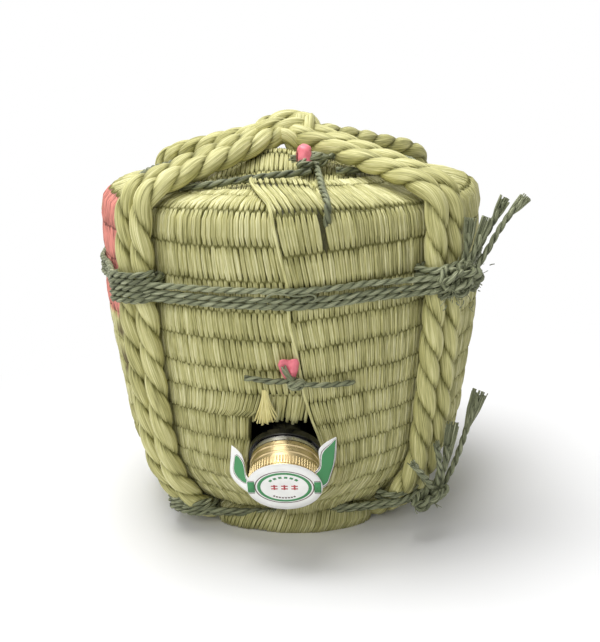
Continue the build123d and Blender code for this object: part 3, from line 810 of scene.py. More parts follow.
def makePadding():
    shells = []
    heights, clear = padding["heights"], padding["halfWidth"]
    size = (padding["width"], padding["thick"] / 2)
    runs = runAtHeight(heights)
    for index, (start, end) in enumerate(zip(runs, runs[1:])):
        along = (np.arange(padding["count"]) + (0.5 if index % 2 else 0)) * 360 / padding["count"]
        if heights[index + 1] < padding["below"]:
            along = along[np.abs(turnBetween(along, 0)) > clear]
        shells.append(stalks(paddingSurface, along, start, end, *size, overrun=1.2))
    runs = np.linspace(*runAtHeight(padding["backed"]), 40)
    angle, run = np.meshgrid(np.linspace(clear + 1, 359 - clear, 121), runs)
    body = plate(*(paddingSurface(angle, run, 0, lift) for lift in padding["shadeBacking"]))
    # the sheet under the padding, dark and with a low tint: painted shade
    shells.append(oneShell(body, 0.2))
    strawPiece("paddingStraw", shells, paintedShadeStraw, "inner_mat")


def makeFringe():
    stems = []
    fringe = tuft["fringe"]
    for layer, (reach, radius) in enumerate(fringe["layers"]):
        for index in range(fringe["count"]):
            place = np.interp(index + 0.5 * layer, [0, fringe["count"]], fringe["azimuths"])
            azimuth = place + rng.normal(0, 0.12)
            low = fringe["bottom"] + rng.normal(0, 0.7) + layer
            shift = np.degrees(fringe["lean"] * (1 + rng.normal(0, 0.25)) / reach)
            turns = np.array([azimuth, azimuth + shift * 0.4, azimuth + shift])
            reaches = np.array([reach, reach - 0.4, reach - 1.4])
            line = nurbsLine(polar(turns, reaches, np.array([fringe["top"], (fringe["top"] + low) / 2, low])))
            phase = rng.uniform(0, tau)
            size = radius * rng.uniform(0.85, 1.15)
            stems.append(strandShell(line, 2.5, 0.0, 60, phase, size, 7, rough=0.04))
    strawPiece("paddingFringe", stems, matStraw)


def makeTuft():
    fan = []
    top = polar(*tuft["apex"])
    for azimuth, low in tuft["fan"]:
        foot = polar(azimuth, 92.2 + rng.normal(0, 0.35), low + rng.normal(0, 0.3))
        middle = (top + foot) / 2 + polar(azimuth, 0.9, 0)
        start = top + polar(azimuth + 90, (azimuth - tuft["apex"][0]) * 0.25, 0)
        line = nurbsLine([start + (0, 0, 2.5), start, middle, foot])
        phase = rng.uniform(0, tau)
        radius = tuft["radius"] * rng.uniform(0.8, 1.15)
        fan.append(strandShell(line, 1.6, 0.0, 80, phase, radius, 7, rough=0.04, oval=(0.6, 1.2)))
    strawPiece("tuftFan", fan, cutStraw, "straw_tuft")


makePadding()
makeFringe()
makeTuft()
print("padding and cut straw made")

# foot: the lower margin gathered under the fold, drawn in under the ropes; the core, dark straw that is
# painted shade under the foot, is reaches and heights
foot = {
    "corners": [(52, 12.2), (63.5, 11.4), (68.4, 8), (68.6, 0.2), (40, 0.2)], "rounds": [3, 3, 1.8],
    "swirl": -15, "channel": (13, 7), "puff": (2.2, 12, 24), "count": 190, "width": 2.4, "thick": 1.7,
    "core": [(0, 11.0), (0, 11.0), (40, 11.0), (57, 10.5), (63.5, 9), (65.8, 6.5), (65.6, 2.5), (57, 0.9),
             (40, 0.9), (0, 0.9)],
}
footLine, footRun = roundedLine(foot["corners"], foot["rounds"], 0.25)
footCourse = courseOf(footLine)


def footSurface(along, run, offset, height):
    reach, tall = (np.interp(run, footRun, footLine[:, axis]) for axis in (0, 1))
    outX = -np.interp(run, footRun, footCourse[:, 1])
    outZ = np.interp(run, footRun, footCourse[:, 0])
    swirl = foot["swirl"] * (run / footRun[-1])
    height = np.where(tall < 3, np.maximum(height, -2.5), height)
    (drawn, drawnWidth), (high, width, place) = foot["channel"], foot["puff"]
    puff = 0.5 * np.sin(np.radians(along * 9)) + 0.4 * np.sin(np.radians(along * 23 + 40))
    puff = puff + high * bell(along - place, width)
    reachOut = reach + outX * (height + puff) - drawn * bell(ropeDistance(along + swirl), drawnWidth)
    azimuth = along + swirl + np.degrees(offset / np.maximum(reach, 30))
    return polar(azimuth, reachOut, np.maximum(tall + outZ * (height + puff), 0.0))


def makeFoot():
    along = np.arange(foot["count"]) * 360 / foot["count"]
    size = (foot["width"], foot["thick"])
    row = stalks(footSurface, along, 1.0, footRun[-1] - 3, *size, lift=0.5, overrun=0.5, shape=longStalk)
    strawPiece("footStraw", [row], matStraw, "foot")
    rings, heights = np.array(foot["core"], float).T[..., None]
    angles = np.linspace(0, 360, 121)[None]
    inward = 1 - 0.25 * np.exp(-((ropeDistance(angles) / 9) ** 4))
    body = polar(angles, rings * np.where(rings > 30, inward, 1), heights)
    # the core in dark straw is painted shade
    strawPiece("footCore", [oneShell(body)], paintedShadeStraw, "foot")


makeFoot()
print("foot gathered")


# ropes in pairs, from the knot over the rim and down under the foot: reach and height of one side's profile
rope = {
    "helix": 1.95, "strand": 3.45, "lay": 31.0, "sides": 30, "step": 1.6, "spacing": 11.4, "twist": 0.75,
    # the groove value is painted shade on each strand's side that faces the other
    "oval": (0.96, 1.12), "ribs": 0.16, "groove": 1.7,
    "profile": [(8, 190), (30, 186.2), (55, 181), (80, 175.8), (94, 172.4), (100.6, 166.5), (101.2, 156),
                (101, 136), (100.8, 112), (97.8, 82), (95, 58), (91.8, 40), (86.2, 27.5), (78.2, 17),
                (70.5, 8.6), (62, 6.1), (45, 6.1), (28, 6.1)],
    "pairs": {"rope_front_right": 46, "rope_back_right": 138, "rope_back_left": 226, "rope_front_left": 318},
}


# two strands or plies laid round each other along a line
def laidPair(line, laid, radius, size, phase, rough):
    return [
        strandShell(
            line, laid["step"], laid["helix"] * size, laid["lay"] * size, phase + turn, radius * size,
            laid["sides"], rough=rough, ribs=laid["ribs"] * size, fibreTwist=laid["twist"], oval=laid["oval"],
            groove=laid["groove"],
        )
        for turn in (0, math.pi)
    ]


def ropeShells(line, size=1.0):
    return laidPair(line, rope, rope["strand"], size, rng.uniform(0, tau), 0.03)


def makeRopes():
    for name, azimuth in rope["pairs"].items():
        shells = []
        out, across = axesAt(azimuth)
        for side in (-1, 1):
            wobble = rng.normal(0, 0.5, len(rope["profile"]))
            points = [
                out * reach + across * (side * rope["spacing"] / 2 + shift) + (0, 0, height)
                for (reach, height), shift in zip(rope["profile"], wobble)
            ]
            shells += ropeShells(nurbsLine(points))
        shellObject(name.replace("rope_", "rope") + "Strands", shells, ropeStraw, [name])


makeRopes()

# the ropes' ends tied on top: loops, two wraps over them and a brush of loose ends
topKnot = {
    "loops": [[(-17, 9, 181), (-21, 1, 187), (-15, -8, 191.5), (-3, -10, 194), (7, -7, 193), (12, 2, 188),
               (9, 9, 182)],
              [(-15, -6, 186), (-15, 4, 192), (-6, 8, 195.4), (6, 5.5, 196), (13, -2, 192), (12, -9, 185)],
              [(-16, -4, 184), (-19, 2, 188), (-14, 8, 191), (-6, 9, 188)],
              [(-8, -9, 190), (-2, -13.5, 190.5), (3, -15.5, 186.5), (4.5, -13, 180.5)]],
    "loopSize": 0.9,
    "wraps": [(4.4, 2.9), (9.6, 2.7)],  # place along x, radius
    "wrapMiddle": (-1, 186.5), "wrapSize": (12.2, 10.2),
    "brush": [(-15, 4, 186), (-18.5, 0, 189), (-20, -4, 187)],
    "brushFibres": {"wide": 4, "deep": 0.8, "count": 9, "radius": 0.5, "fan": (1.0, 1.3), "fray": 0.1},
}


def makeTopKnot():
    shells = []
    for points in topKnot["loops"]:
        shells += ropeShells(nurbsLine(points), topKnot["loopSize"])
    (y, z), (deep, high) = topKnot["wrapMiddle"], topKnot["wrapSize"]
    for x, radius in topKnot["wraps"]:
        points = [
            (x + 1.5 * math.sin(angle * 0.5), y - deep * math.cos(angle), z + high * math.sin(angle))
            for angle in np.linspace(0, tau * 1.02, 13)
        ]
        line = nurbsLine(points)
        shells.append(strandShell(line, 1.6, 0.0, 90, 0.0, radius, 27, rough=0.05, ribs=0.14, fibreTwist=0.1))
    shells += bundle(topKnot["brush"], **topKnot["brushFibres"])
    shellObject("topKnotStraw", shells, ropeStraw, ["top_knot"])


makeTopKnot()
print("ropes laid")

twine = {
    "helix": 0.68, "ply": 0.88, "lay": 11.0, "sides": 10, "step": 0.9, "twist": 0.55, "oval": (0.95, 1.15),
    # the groove value is painted shade on each ply's side that faces the other
    "ribs": 0.06, "groove": 1.0,
}


def twineShells(line, size=1.0):
    return laidPair(line, twine, twine["ply"], size, rng.uniform(0, tau), 0.06)


def twineAlong(points, size=1.0):
    return twineShells(nurbsLine(points), size)


# a twine drawn tight round the wall and the ropes: its plan is the outside of a circle and eight discs
def tightReach(azimuths, wallReach, ropeReach, ropeSize):
    directions = np.arange(0, 360, 0.5)
    facing = polar(directions, 1, 0)
    support = np.full(len(directions), wallReach)
    for azimuth in outline["ropeAzimuths"]:
        out, across = axesAt(azimuth)
        for side in (-1, 1):
            centre = out * ropeReach + side * rope["spacing"] / 2 * across
            support = np.maximum(support, facing @ centre + ropeSize)
    away = np.radians(turnBetween(directions[None], np.asarray(azimuths)[:, None]))
    reach = np.where(np.abs(away) < 1.3, support[None] / np.maximum(np.cos(away), 0.1), 1e9)
    return reach.min(axis=1)


def wallReachAt(azimuths, heights):
    run = runAtHeight(heights)
    return reachAtRun(run) + matLift(azimuths, run) + flapLift(azimuths % 360, run)


# each turn of a wound twine starts at the knot and goes once round; its heights are at these azimuths
turnAzimuths = (46, 20, 0, -20, -42, -90, -134, -180, -222, -270, -314)
girth = {
    "wallReach": 95.2, "ropeReach": 100.8, "ropeSize": 6.9,
    "turns": [(132.5, 131.8, 130.4, 130.2, 131.8, 131, 132, 131, 132, 131, 130.5),
              (129.6, 127.2, 126.0, 126.4, 128.8, 127, 129, 127, 129, 127, 128.0),
              (126.8, 124.6, 123.2, 123.5, 126.0, 123.5, 125.5, 123.5, 125.5, 123.5, 126.8)],
}
base = {
    "ropeSize": 6.9,
    "turns": [(17.0, 12.8, 9.6, 9.6, 12.5, 12, 13, 12, 13, 12, 15.0),
              (14.0, 10.4, 8.0, 8.0, 9.8, 9, 10, 9, 10, 9, 12.0)],
    "wall": ([8, 11.5, 16], [66.5, 66.0, 71.5]),  # heights and reaches
    "ropes": ([8, 12, 18], [70, 73.5, 79]),
    "tuck": [(46, 0.0), (26, 0.0), (8, 4.5), (-34, 4.5), (-42, 0.0), (-314, 0.0)],  # drawn in at the front
}


def woundTurns(wound, reachOf):
    azimuths = np.arange(46, -315, -4.0)
    shells = []
    for heights in wound["turns"]:
        tall = np.interp(-azimuths, [-azimuth for azimuth in turnAzimuths], heights)
        shells += twineAlong(polar(azimuths, reachOf(azimuths, tall), tall))
    return shells


def girthReach(azimuths, tall):
    reach = tightReach(azimuths % 360, girth["wallReach"], girth["ropeReach"], girth["ropeSize"])
    return np.maximum(reach, wallReachAt(azimuths, tall) + 1.3)


def baseReach(azimuths, tall):
    places, depths = zip(*base["tuck"])
    wallReach = np.interp(tall, *base["wall"]) - np.interp(-azimuths, [-place for place in places], depths)
    ropeReach = np.interp(tall, *base["ropes"])
    return np.array([
        tightReach(np.array([azimuth % 360]), wall, ropes, base["ropeSize"])[0]
        for azimuth, wall, ropes in zip(azimuths, wallReach, ropeReach)
    ])


twinePiece("girthTwine", woundTurns(girth, girthReach), "girth_twine")
twinePiece("baseTwine", woundTurns(base, baseReach), "base_twine")
print("girth and base twine wound")

# twine on top and on the front, from the same places as in the solids
lacing = {
    "route": [(12, -48), (-14, -55), (-46, -64), (-72, -36), (-76, 4), (-55, 44), (-16, 62), (26, 60),
              (58, 40), (66, 4), (52, -30), (24, -44)],
    "lift": 2.3, "size": 1.15,
}
riser = {
    "onTop": [(20, 42, 3), (16, 60, 2.6), (13.5, 78, 2.4)],  # azimuth, reach and lift over the top
    "overRim": [(12.8, 90, 169.6), (12.3, 96.4, 167.8), (12.3, 97.4, 165.2), (12.3, 96.6, 161.8),
                (12.3, 94.0, 158.4)],  # azimuth, reach and height
    "size": 1.12,
}
stitch = {
    "route": [(-17.3, -93.4, 89.6), (-12, -96.2, 90.0), (-5, -98.0, 89.2), (2, -99.0, 90.2), (8, -98.4, 88.4),
              (16, -97.4, 87.4), (24, -94.6, 86.8), (31.5, -89.6, 86.2)],
    "size": 0.95,
}


def makeLacing():
    points = [(x, y, topHeight(math.hypot(x, y)) + lacing["lift"]) for x, y in lacing["route"]]
    risen = [(azimuth, reach, topHeight(reach) + lift) for azimuth, reach, lift in riser["onTop"]]
    risen = polar(*np.array(risen + riser["overRim"]).T)
    twinePiece("topLacing", twineAlong(points, lacing["size"]), "top_lacing")
    twinePiece("rimRiser", twineAlong(risen, riser["size"]), "rim_riser")
    sewn = twineAlong(stitch["route"], stitch["size"])
    twinePiece("frontStitch", sewn, "front_stitch")


makeLacing()


# a lump of a knot: twine wound round a middle, its turns tilting as they go
def lump(middle, right, size, turns, tilt, twineSize):
    right, up = np.array(right, float), np.array((0, 0, 1.0))
    axes = np.array([right, up, np.cross(right, up)]) * np.array(size)[:, None]
    steps = 9
    points = []
    for index in range(int(turns * steps) + 1):
        angle = tau * index / steps
        lean = 1.6 * (tilt * math.sin(angle / turns * 1.7) + rng.normal(0, 0.12))
        across = math.sin(angle) * math.sin(lean) + 0.5 * math.cos(angle * 0.37)
        spoke = np.array([math.cos(angle), math.sin(angle) * math.cos(lean), across])
        points.append(np.array(middle) + spoke @ axes * (1 + rng.normal(0, 0.05)))
    return twineAlong(points, twineSize)


# short broken fibres standing off a knot, on the side that faces away from the cask's axis
def fuzz(middle, right, size, count, length):
    out = unit(np.array(middle) * (1, 1, 0))
    up = np.array((0, 0, 1.0))
    shells = []
    for _ in range(count):
        turn = rng.normal(0, 1, 3)
        outward = unit(right * turn[0] + out * abs(turn[1]) + up * turn[2])
        aside, above = turn[0] * size[0] / 2, turn[2] * size[2] / 2
        start = np.array(middle) + right * aside + out * size[1] * rng.uniform(0.4, 1.0) + up * above
        bend = rng.normal(0, 0.5, 3)
        reach = length * rng.uniform(0.4, 1.2)
        halfway, end = (outward + 0.4 * bend) * reach * 0.5, (outward * 0.8 + bend) * reach
        line = np.array([start, start + halfway, start + end])
        phase = rng.uniform(0, tau)
        shells.append(strandShell(line, reach / 4, 0.0, 50, phase, rng.uniform(0.14, 0.3), 4, rough=0.0))
    return shells


# wraps of twine round a pair of ropes, as a helix whose section follows both ropes: half its width and depth,
# and how square it is in each
hitchSection = {"wide": (13.0, 0.7), "deep": (8.0, 0.55), "wander": 0.9}
hitches = {
    "frontLeft": {"azimuth": -42, "reach": 100.8, "heights": (135.2, 121.8), "turns": 4.6, "size": 1.0},
    "baseLeft": {"azimuth": -42, "reach": 73.5, "heights": (15.0, 8.5), "turns": 2.4, "size": 0.95},
}


def hitchShells(hitch):
    out, across = axesAt(hitch["azimuth"])

    def squared(value, size, power):
        return size * np.sign(value) * abs(value) ** power

    points = []
    for angle in np.arange(0, tau * hitch["turns"], tau / 16):
        height = np.interp(angle / (tau * hitch["turns"]), [0, 1], hitch["heights"])
        height += hitchSection["wander"] * math.cos(angle)
        wide = squared(math.cos(angle), *hitchSection["wide"])
        deep = squared(math.sin(angle), *hitchSection["deep"])
        points.append(out * (hitch["reach"] + deep) + across * wide + (0, 0, height))
    return twineAlong(points, hitch["size"])


# lumps are a place aside, outwards and up from the middle, with a size; stubs are short ends of the twine
girthKnot = {
    "middle": (78.6, -79.6, 130.5), "twineSize": 1.08, "fuzz": 170, "fuzzSize": (13, 4, 8),
    "wraps": {"azimuth": 46, "reach": 100.8, "heights": (138.0, 124.0), "turns": 4.4, "size": 1.1},
    "lumps": [((-7.5, 1.5, 2.5), (4.5, 5.5, 3.0)), ((-1.0, 2.2, -1.5), (5.0, 5.0, 3.2)),
              ((5.5, 2.0, 2.0), (4.5, 6.0, 3.2)), ((9.5, 0.5, -1.0), (4.0, 4.5, 3.0)),
              ((1.5, 2.5, 3.5), (4.5, 3.5, 3.0))],
    "flatStubs": [([(80, -73, 131), (83.0, -70.2, 141), (84.0, -68.8, 150), (84.6, -68.2, 157)], 5.0),
                  ([(81.5, -73.5, 132), (86.0, -70.4, 141), (89.6, -69.0, 149), (92.6, -67.6, 157)], 5.2)],
    "laidStubs": [],
}
baseKnot = {
    "middle": (66.6, -68.4, 22.0), "twineSize": 1.05, "fuzz": 50, "fuzzSize": (9, 3, 5),
    "wraps": {"azimuth": 46, "reach": 77, "heights": (22.0, 13.0), "turns": 2.3, "size": 1.05},
    "lumps": [((-6, 3.0, -1.5), (4.5, 4.0, 2.8)), ((-0.5, 4.0, 0.5), (4.5, 4.5, 3.0)),
              ((5.0, 3.5, 1.0), (4.5, 4.5, 3.0))],
    "flatStubs": [([(72, -64.5, 22), (76.0, -66.2, 35), (76.6, -69.0, 47), (79, -67.8, 58.6)], 5.6)],
    "laidStubs": [([(70, -66.5, 22), (73.0, -71, 33), (72, -75.0, 43), (70.6, -77.2, 50)], 3.0),
                  ([(69, -66.5, 22), (68.4, -73.6, 29), (64.0, -79.6, 36.4), (59.4, -84.6, 43.6)], 3.0)],
}


# how the fibres lie in each kind of untwisted end
frayed = {
    "flatStub": {"deep": 0.5, "count": 26, "radius": 0.32, "fan": (0.25, 0.75, 1.0, 1.1), "fray": 0.05,
                 "step": 1.6},
    "laidStub": {"deep": 0.7, "count": 22, "radius": 0.3, "fan": (0.5, 1.2), "fray": 0.2, "step": 1.0,
                 "wave": 0.3},
    "smallKnot": {"deep": 0.5, "fan": (0.7, 1.2), "step": 1.4},
    "stitch": {"deep": 0.3, "count": 7, "radius": 0.36, "fan": (0.8, 1.1), "fray": 0.1, "step": 1.4},
    "tail": {"deep": 0.6, "count": 30, "radius": 0.32, "fan": (0.3, 0.85, 1.1), "fray": 0.08, "step": 1.4},
}
stubSize = 1.1


# an end that is untwisted into a flat brush from its second point on
def flatStub(path, wide):
    return twineAlong(path[:3], stubSize) + bundle(path[1:], wide, **frayed["flatStub"])


# an end that stays laid and frays at its tip
def laidStub(path, wide):
    end, before = np.array(path[-1], float), np.array(path[-2], float)
    ahead = unit(end - before) * 3
    return twineAlong(path, stubSize) + bundle([end - ahead, end, end + ahead], wide, **frayed["laidStub"])


def makeRopeKnots():
    right, out = polar(46 + 90, 1, 0), polar(46, 1, 0)
    for name, knot, node in [("girthKnot", girthKnot, "girth_knot"), ("baseKnot", baseKnot, "base_knot")]:
        middle = np.array(knot["middle"])
        shells = hitchShells(knot["wraps"])
        for (aside, ahead, above), size in knot["lumps"]:
            place = middle + right * aside + out * ahead + (0, 0, above)
            shells += lump(place, right, size, 2.3, 0.9, knot["twineSize"])
        for path, wide in knot["flatStubs"]:
            shells += flatStub(path, wide)
        for path, wide in knot["laidStubs"]:
            shells += laidStub(path, wide)
        shells += fuzz(middle, right, knot["fuzzSize"], knot["fuzz"], 2.6)
        twinePiece(name + "Twine", shells, node)


# the small knots on top and on the front stitch: each lump is a place by azimuth, reach and height, its size,
# turns, tilt and twine size; each brush is a path, its width, how many fibres, their radius and their fray
smallKnots = {
    "lacing": {
        "lumps": [((19, 39.5, 180.5), (6.0, 3.0, 4.0), 3.2, 0.8, 1.1),
                  ((12, 46, 178.6), (3.0, 2.2, 2.4), 2.2, 0.8, 1.0)],
        "end": [(20, -36, 181), (25, -34, 182.5), (31, -34, 181), (36, -32.5, 180)],
        "brushes": [([(34, -33, 181), (38, -32, 180.5), (42, -31.5, 179.5)], 3.6, 14, 0.36, 0.12),
                    ([(10, -37, 180.5), (5, -37.5, 181.5), (1, -36.5, 180)], 3.2, 12, 0.34, 0.15)],
    },
    "stitch": {
        "lump": ((3.5, 99.0, 88.4), (3.0, 2.4, 1.7), 2.4, 0.9, 0.95),
        "brush": [(3.0, 99, 89), (1.0, 100.2, 93), (0.2, 99.4, 97)],  # azimuth, reach and height
    },
    "loose": [(-3.8, 127.6), (-2.6, 130.0), (0.5, 129.8), (4.2, 128.2), (7.6, 129.6), (9.4, 127.6),
              (8.2, 125.6)],  # azimuth and height of a loose ply on the girth
}


def smallLump(place, *more):
    return lump(polar(*place), polar(place[0] + 90, 1, 0), *more)


def makeSmallKnots():
    knot = smallKnots["lacing"]
    shells = []
    for values in knot["lumps"]:
        shells += smallLump(*values)
    shells += twineAlong(knot["end"], 1.15)
    for path, wide, count, radius, fray in knot["brushes"]:
        shells += bundle(path, wide, count=count, radius=radius, fray=fray, **frayed["smallKnot"])
    twinePiece("lacingKnotTwine", shells, "lacing_knot")
    knot = smallKnots["stitch"]
    shells = smallLump(*knot["lump"])
    path = [polar(*place) for place in knot["brush"]]
    shells += bundle(path, 2.2, **frayed["stitch"])
    twinePiece("stitchKnotTwine", shells, "stitch_knot")


def makeHitches():
    shells = hitchShells(hitches["frontLeft"]) + hitchShells(hitches["baseLeft"])
    azimuths, heights = np.array(smallKnots["loose"]).T
    line = nurbsLine(polar(azimuths, 98.6, heights))
    shells.append(strandShell(line, 1.0, 0.0, 60, 0.0, 0.55, 7, rough=0.05))
    twinePiece("hitchTwine", shells)


makeRopeKnots()
makeSmallKnots()
makeHitches()
print("knots tied")

# free twine ends: they leave their knots, stand by their own stiffness and end untwisted; the brush is the
# untwisted end's length and width
tails = {
    "girth_tail_long": {
        "path": [(84.0, -75.0, 128.0), (87.6, -70.0, 134.2), (92.6, -68.2, 141.9), (97.8, -66.2, 151.0),
                 (102.8, -65.2, 158.6), (108.6, -63.2, 164.0)],
        "brush": (10, 5.0),
    },
    "girth_tail_short": {
        "path": [(82.0, -71.8, 133.6), (86.3, -68.6, 138.0), (90.2, -65.6, 145.6), (95.4, -62.6, 153.8),
                 (100.0, -60.4, 162.6)],
        "brush": (10, 5.0),
    },
    "base_tail_long": {
        "path": [(72.5, -62.5, 20.0), (77.6, -60.2, 26.2), (81.6, -60.6, 36.4), (85.4, -58.2, 47.6),
                 (88.8, -57.6, 58.6), (92.4, -54.4, 67.2)],
        "brush": (17, 7.5),
    },
}


def makeTails():
    for node, tail in tails.items():
        line = nurbsLine([[value * mm for value in point] for point in tail["path"]])
        name = node.replace("_tail_long", "TailLong").replace("_tail_short", "TailShort")
        piece = twinePiece(name, twineShells(line / mm, 1.02), node)
        end, before = line[-1] / mm, line[-8] / mm
        ahead = unit(end - before)
        long, wide = tail["brush"]
        path = [end - ahead * long, end - ahead * long * 0.4, end + ahead * 2.5]
        brush = twinePiece(name + "Brush", bundle(path, wide, **frayed["tail"]))


makeTails()
print("free ends made")


# a smooth finish with slow clouds in its colour and roughness and fine specks in its relief
plainLook = {"cloudScale": 180.0, "speckScale": 2400.0, "darkest": 0.82, "polish": (0.8, 1.2)}


def plainMaterial(name, colour, roughness, metallic=0.0, grain=0.0):
    material, tree, shader = newMaterial(name)
    cloud = noise(tree, objectPlace(tree), plainLook["cloudScale"], 3.0)
    speck = noise(tree, objectPlace(tree), plainLook["speckScale"], 2.0)
    dark = tuple(level * plainLook["darkest"] for level in srgb(*colour)[:3]) + (1,)
    tree.links.new(blendColour(tree, cloud, dark, srgb(*colour)), shader["Base Color"])
    smooth, coarse = (roughness * share for share in plainLook["polish"])
    tree.links.new(remap(tree, cloud, 0.3, 0.7, smooth, coarse), shader["Roughness"])
    shader["Metallic"].default_value = metallic
    addRelief(tree, shader, grain, 0.0002, speck)
    return material


# ribbon scraps caught in the two knots: pink outside, red inside; the outside's dark and pale pinks are
# painted shade and light on its creases
ribbons = {
    "colours": {"dark": (206, 92, 106), "pale": (244, 140, 150), "inside": (186, 34, 48)},
    "front": {
        "heights": (99.8, 97.5, 94.5, 91.5, 89.0, 86.5), "left": (-0.6, -1.2, -0.6, 0.4, 1.4, 1.7),
        "right": (3.9, 4.4, 4.0, 3.4, 3.1, 2.9), "reach": 98.4,
    },
    "top": {
        "azimuth": 12.6, "curl": 3.3,
        "path": [(46.0, 177.0), (45.6, 182), (43.0, 187.0), (39, 188.2), (36, 185), (35, 180)],
    },
}


def ribbonMaterial():
    material, tree, shader = newMaterial("pinkRibbon")
    creaseAndShade = noise(tree, objectPlace(tree), 420.0, 3.0)
    dark, pale, inside = (srgb(*colour) for colour in ribbons["colours"].values())
    # painted light and shade: the outside is dark or pale pink along the same noise that makes its creases
    outside = blendColour(tree, creaseAndShade, dark, pale)
    tree.links.new(blendColour(tree, attribute(tree, "tint"), outside, inside), shader["Base Color"])
    tree.links.new(remap(tree, creaseAndShade, 0.3, 0.7, 0.35, 0.6), shader["Roughness"])
    addRelief(tree, shader, 0.5, 0.0004, creaseAndShade)
    return material


def makeFrontRibbon(material):
    front = ribbons["front"]
    shares = np.linspace(0, 5, 16)
    heights, left, right = (
        np.interp(shares, range(6), front[key])[:, None] for key in ("heights", "left", "right")
    )
    across = np.linspace(0, 1, 9)[None]
    height = heights + 0.5 * np.sin(across * 9)
    azimuth = left + (right - left) * across
    shares = shares[:, None]
    wave = 0.75 * np.sin(9 * across + 0.9 * shares) + 0.6 * np.cos(2.1 * shares - 5 * across)
    reach = front["reach"] + wave
    body = plate(polar(azimuth, reach + 0.12, height), polar(azimuth, reach - 0.12, height))
    tint = np.clip(np.sin(4 * body[..., 2]) - 0.85, 0, 1)[None]
    piece = shellObject("frontRibbon", [oneShell(body, tint)], material, ["front_tag"])


def makeTopRibbon(material):
    top = ribbons["top"]
    out, sideways = axesAt(top["azimuth"])
    line, run = evenly(nurbsLine([tuple(out * reach + (0, 0, height)) for reach, height in top["path"]]), 1.2)
    up = -np.cross(courseOf(line), sideways)
    angle = np.linspace(-5, 5, 11)[None, :, None] / top["curl"]
    wave = 0.35 * np.sin(run * 0.9)[:, None, None] * np.cos(3 * angle)

    def layer(lift):
        curl = top["curl"] + lift + wave
        aside, above = curl * np.sin(angle), curl * np.cos(angle) - top["curl"]
        return line[:, None] + sideways * aside + up[:, None] * above

    body = plate(layer(0.15), layer(-0.15))
    inside = np.concatenate([np.ones(11), np.zeros(11), np.ones(1)])[None, None]
    foot = np.clip(2.6 - np.arange(body.shape[0]) / 1.5, 0, 1)[None, :, None]
    shell = oneShell(body, np.maximum(inside, foot))
    piece = shellObject("topRibbon", [shell], material, ["top_tag"])


pinkRibbon = ribbonMaterial()
makeFrontRibbon(pinkRibbon)
makeTopRibbon(pinkRibbon)
print("ribbon scraps made")

# paper seal: a disc over the cap with a wing on each side; its print is plain rings, bars and leaves. The
# edges of a wing are x and z from its root, which lies on the disc, to its tip, in the wing's own plane
seal = {
    "centre": (0, -103.0, 41.0), "radius": 17.3, "paper": (0.06, 0.42),
    "wings": {
        "right": [[(11.6, 48.2), (15.1, 49.6), (16.5, 52.3), (15.7, 57.3), (15.8, 60.6), (19.5, 63.3),
                   (23.2, 64.4)],
                  [(12.8, 38.3), (19.2, 39.5), (20.8, 45.3), (22.9, 50.9), (23.5, 56.9), (23.6, 61.4),
                   (23.6, 64.3)]],
        "left": [[(-14.9, 45.2), (-17.2, 45.7), (-17.6, 50.2), (-18.0, 54.1), (-19.6, 58.1), (-23.3, 60.1)],
                 [(-15.6, 36.2), (-20.1, 39.4), (-25.2, 44.5), (-24.7, 50.4), (-24.1, 55.1), (-23.6, 60.3)]],
    },
    "wingHinge": (17, -102.5, 41),  # where the right wing's plane starts, on the disc's side
    "wingNormal": (0.5, -0.86, -0.1),
    "underside": (-103.15, 40.9),  # y and z in the middle of the disc's underside
    # from and to along the wing, half width, middle at both ends, how blunt the start is
    "leaves": {"right": (0.0, 0.95, 0.42, (0.46, 0.62), 0.9), "left": (0.12, 0.74, 0.34, (0.34, 0.42), 0.12)},
    # each layer of a leaf's print: how much longer, its share of the width, and from and to above the paper
    "leafLayers": {"line": (0.02, 1.16, (0.16, 0.22)), "paper": (0.01, 1.07, (0.18, 0.26)),
                   "green": (0.0, 0.94, (0.2, 0.31))},
    "ring": (12.4, 11.0),
    "ringPrints": {"green": (0.88, 1.0, 0.5), "line": (1.06, 1.10, 0.48)},  # inner and outer share, height
    "bar": (15.1, 3.2, 8.0),  # place, width and height
    "barEnds": (15.0, 0.6, 2.8, 0.3),  # place, distance from the bar's end, width and height
    "dots": {"turns": range(48, 139, 18), "place": (8.3, 7.4), "size": (1.5, 1.3)},
    "ticks": {"turns": range(236, 306, 9), "place": (8.9, 8.1), "size": (0.9, 0.9)},
    "crosses": {"places": (-4.6, 0.0, 4.6), "bars": (0.9, -1.1), "barSize": (3.0, 0.75),
                "stem": (-0.1, 0.75, 3.6)},
    # material, colour and roughness
    "inks": {"sealGreen": ("greenInk", (66, 146, 88), 0.45), "sealLines": ("darkInk", (96, 70, 66), 0.5),
             "sealRed": ("redInk", (190, 62, 66), 0.5)},
}


def sealPlace(x, y, lift):
    x, y, lift = (values[..., None] for values in np.broadcast_arrays(x, y, lift))
    return np.array(seal["centre"]) + x * (1.0, 0, 0) + y * (0, -0.5, 0.866) + lift * (0, -0.866, -0.5)


def ringPrint(inner, outer, lift):
    angle = np.linspace(0, tau, 73)[None]
    scale = np.array([inner, outer, outer, inner, inner])[:, None]
    high = np.array([lift, lift, 0.4, 0.4, lift])[:, None]
    return sealPlace(seal["ring"][0] * scale * np.cos(angle), seal["ring"][1] * scale * np.sin(angle), high)


def markPrint(x, y, wide, tall, turn=0.0, lift=0.48):
    across, upwards = np.meshgrid([-wide / 2, wide / 2], [-tall / 2, tall / 2])
    cosine, sine = math.cos(turn), math.sin(turn)
    spot = (x + across * cosine - upwards * sine, y + across * sine + upwards * cosine)
    return plate(sealPlace(*spot, lift), sealPlace(*spot, 0.4))


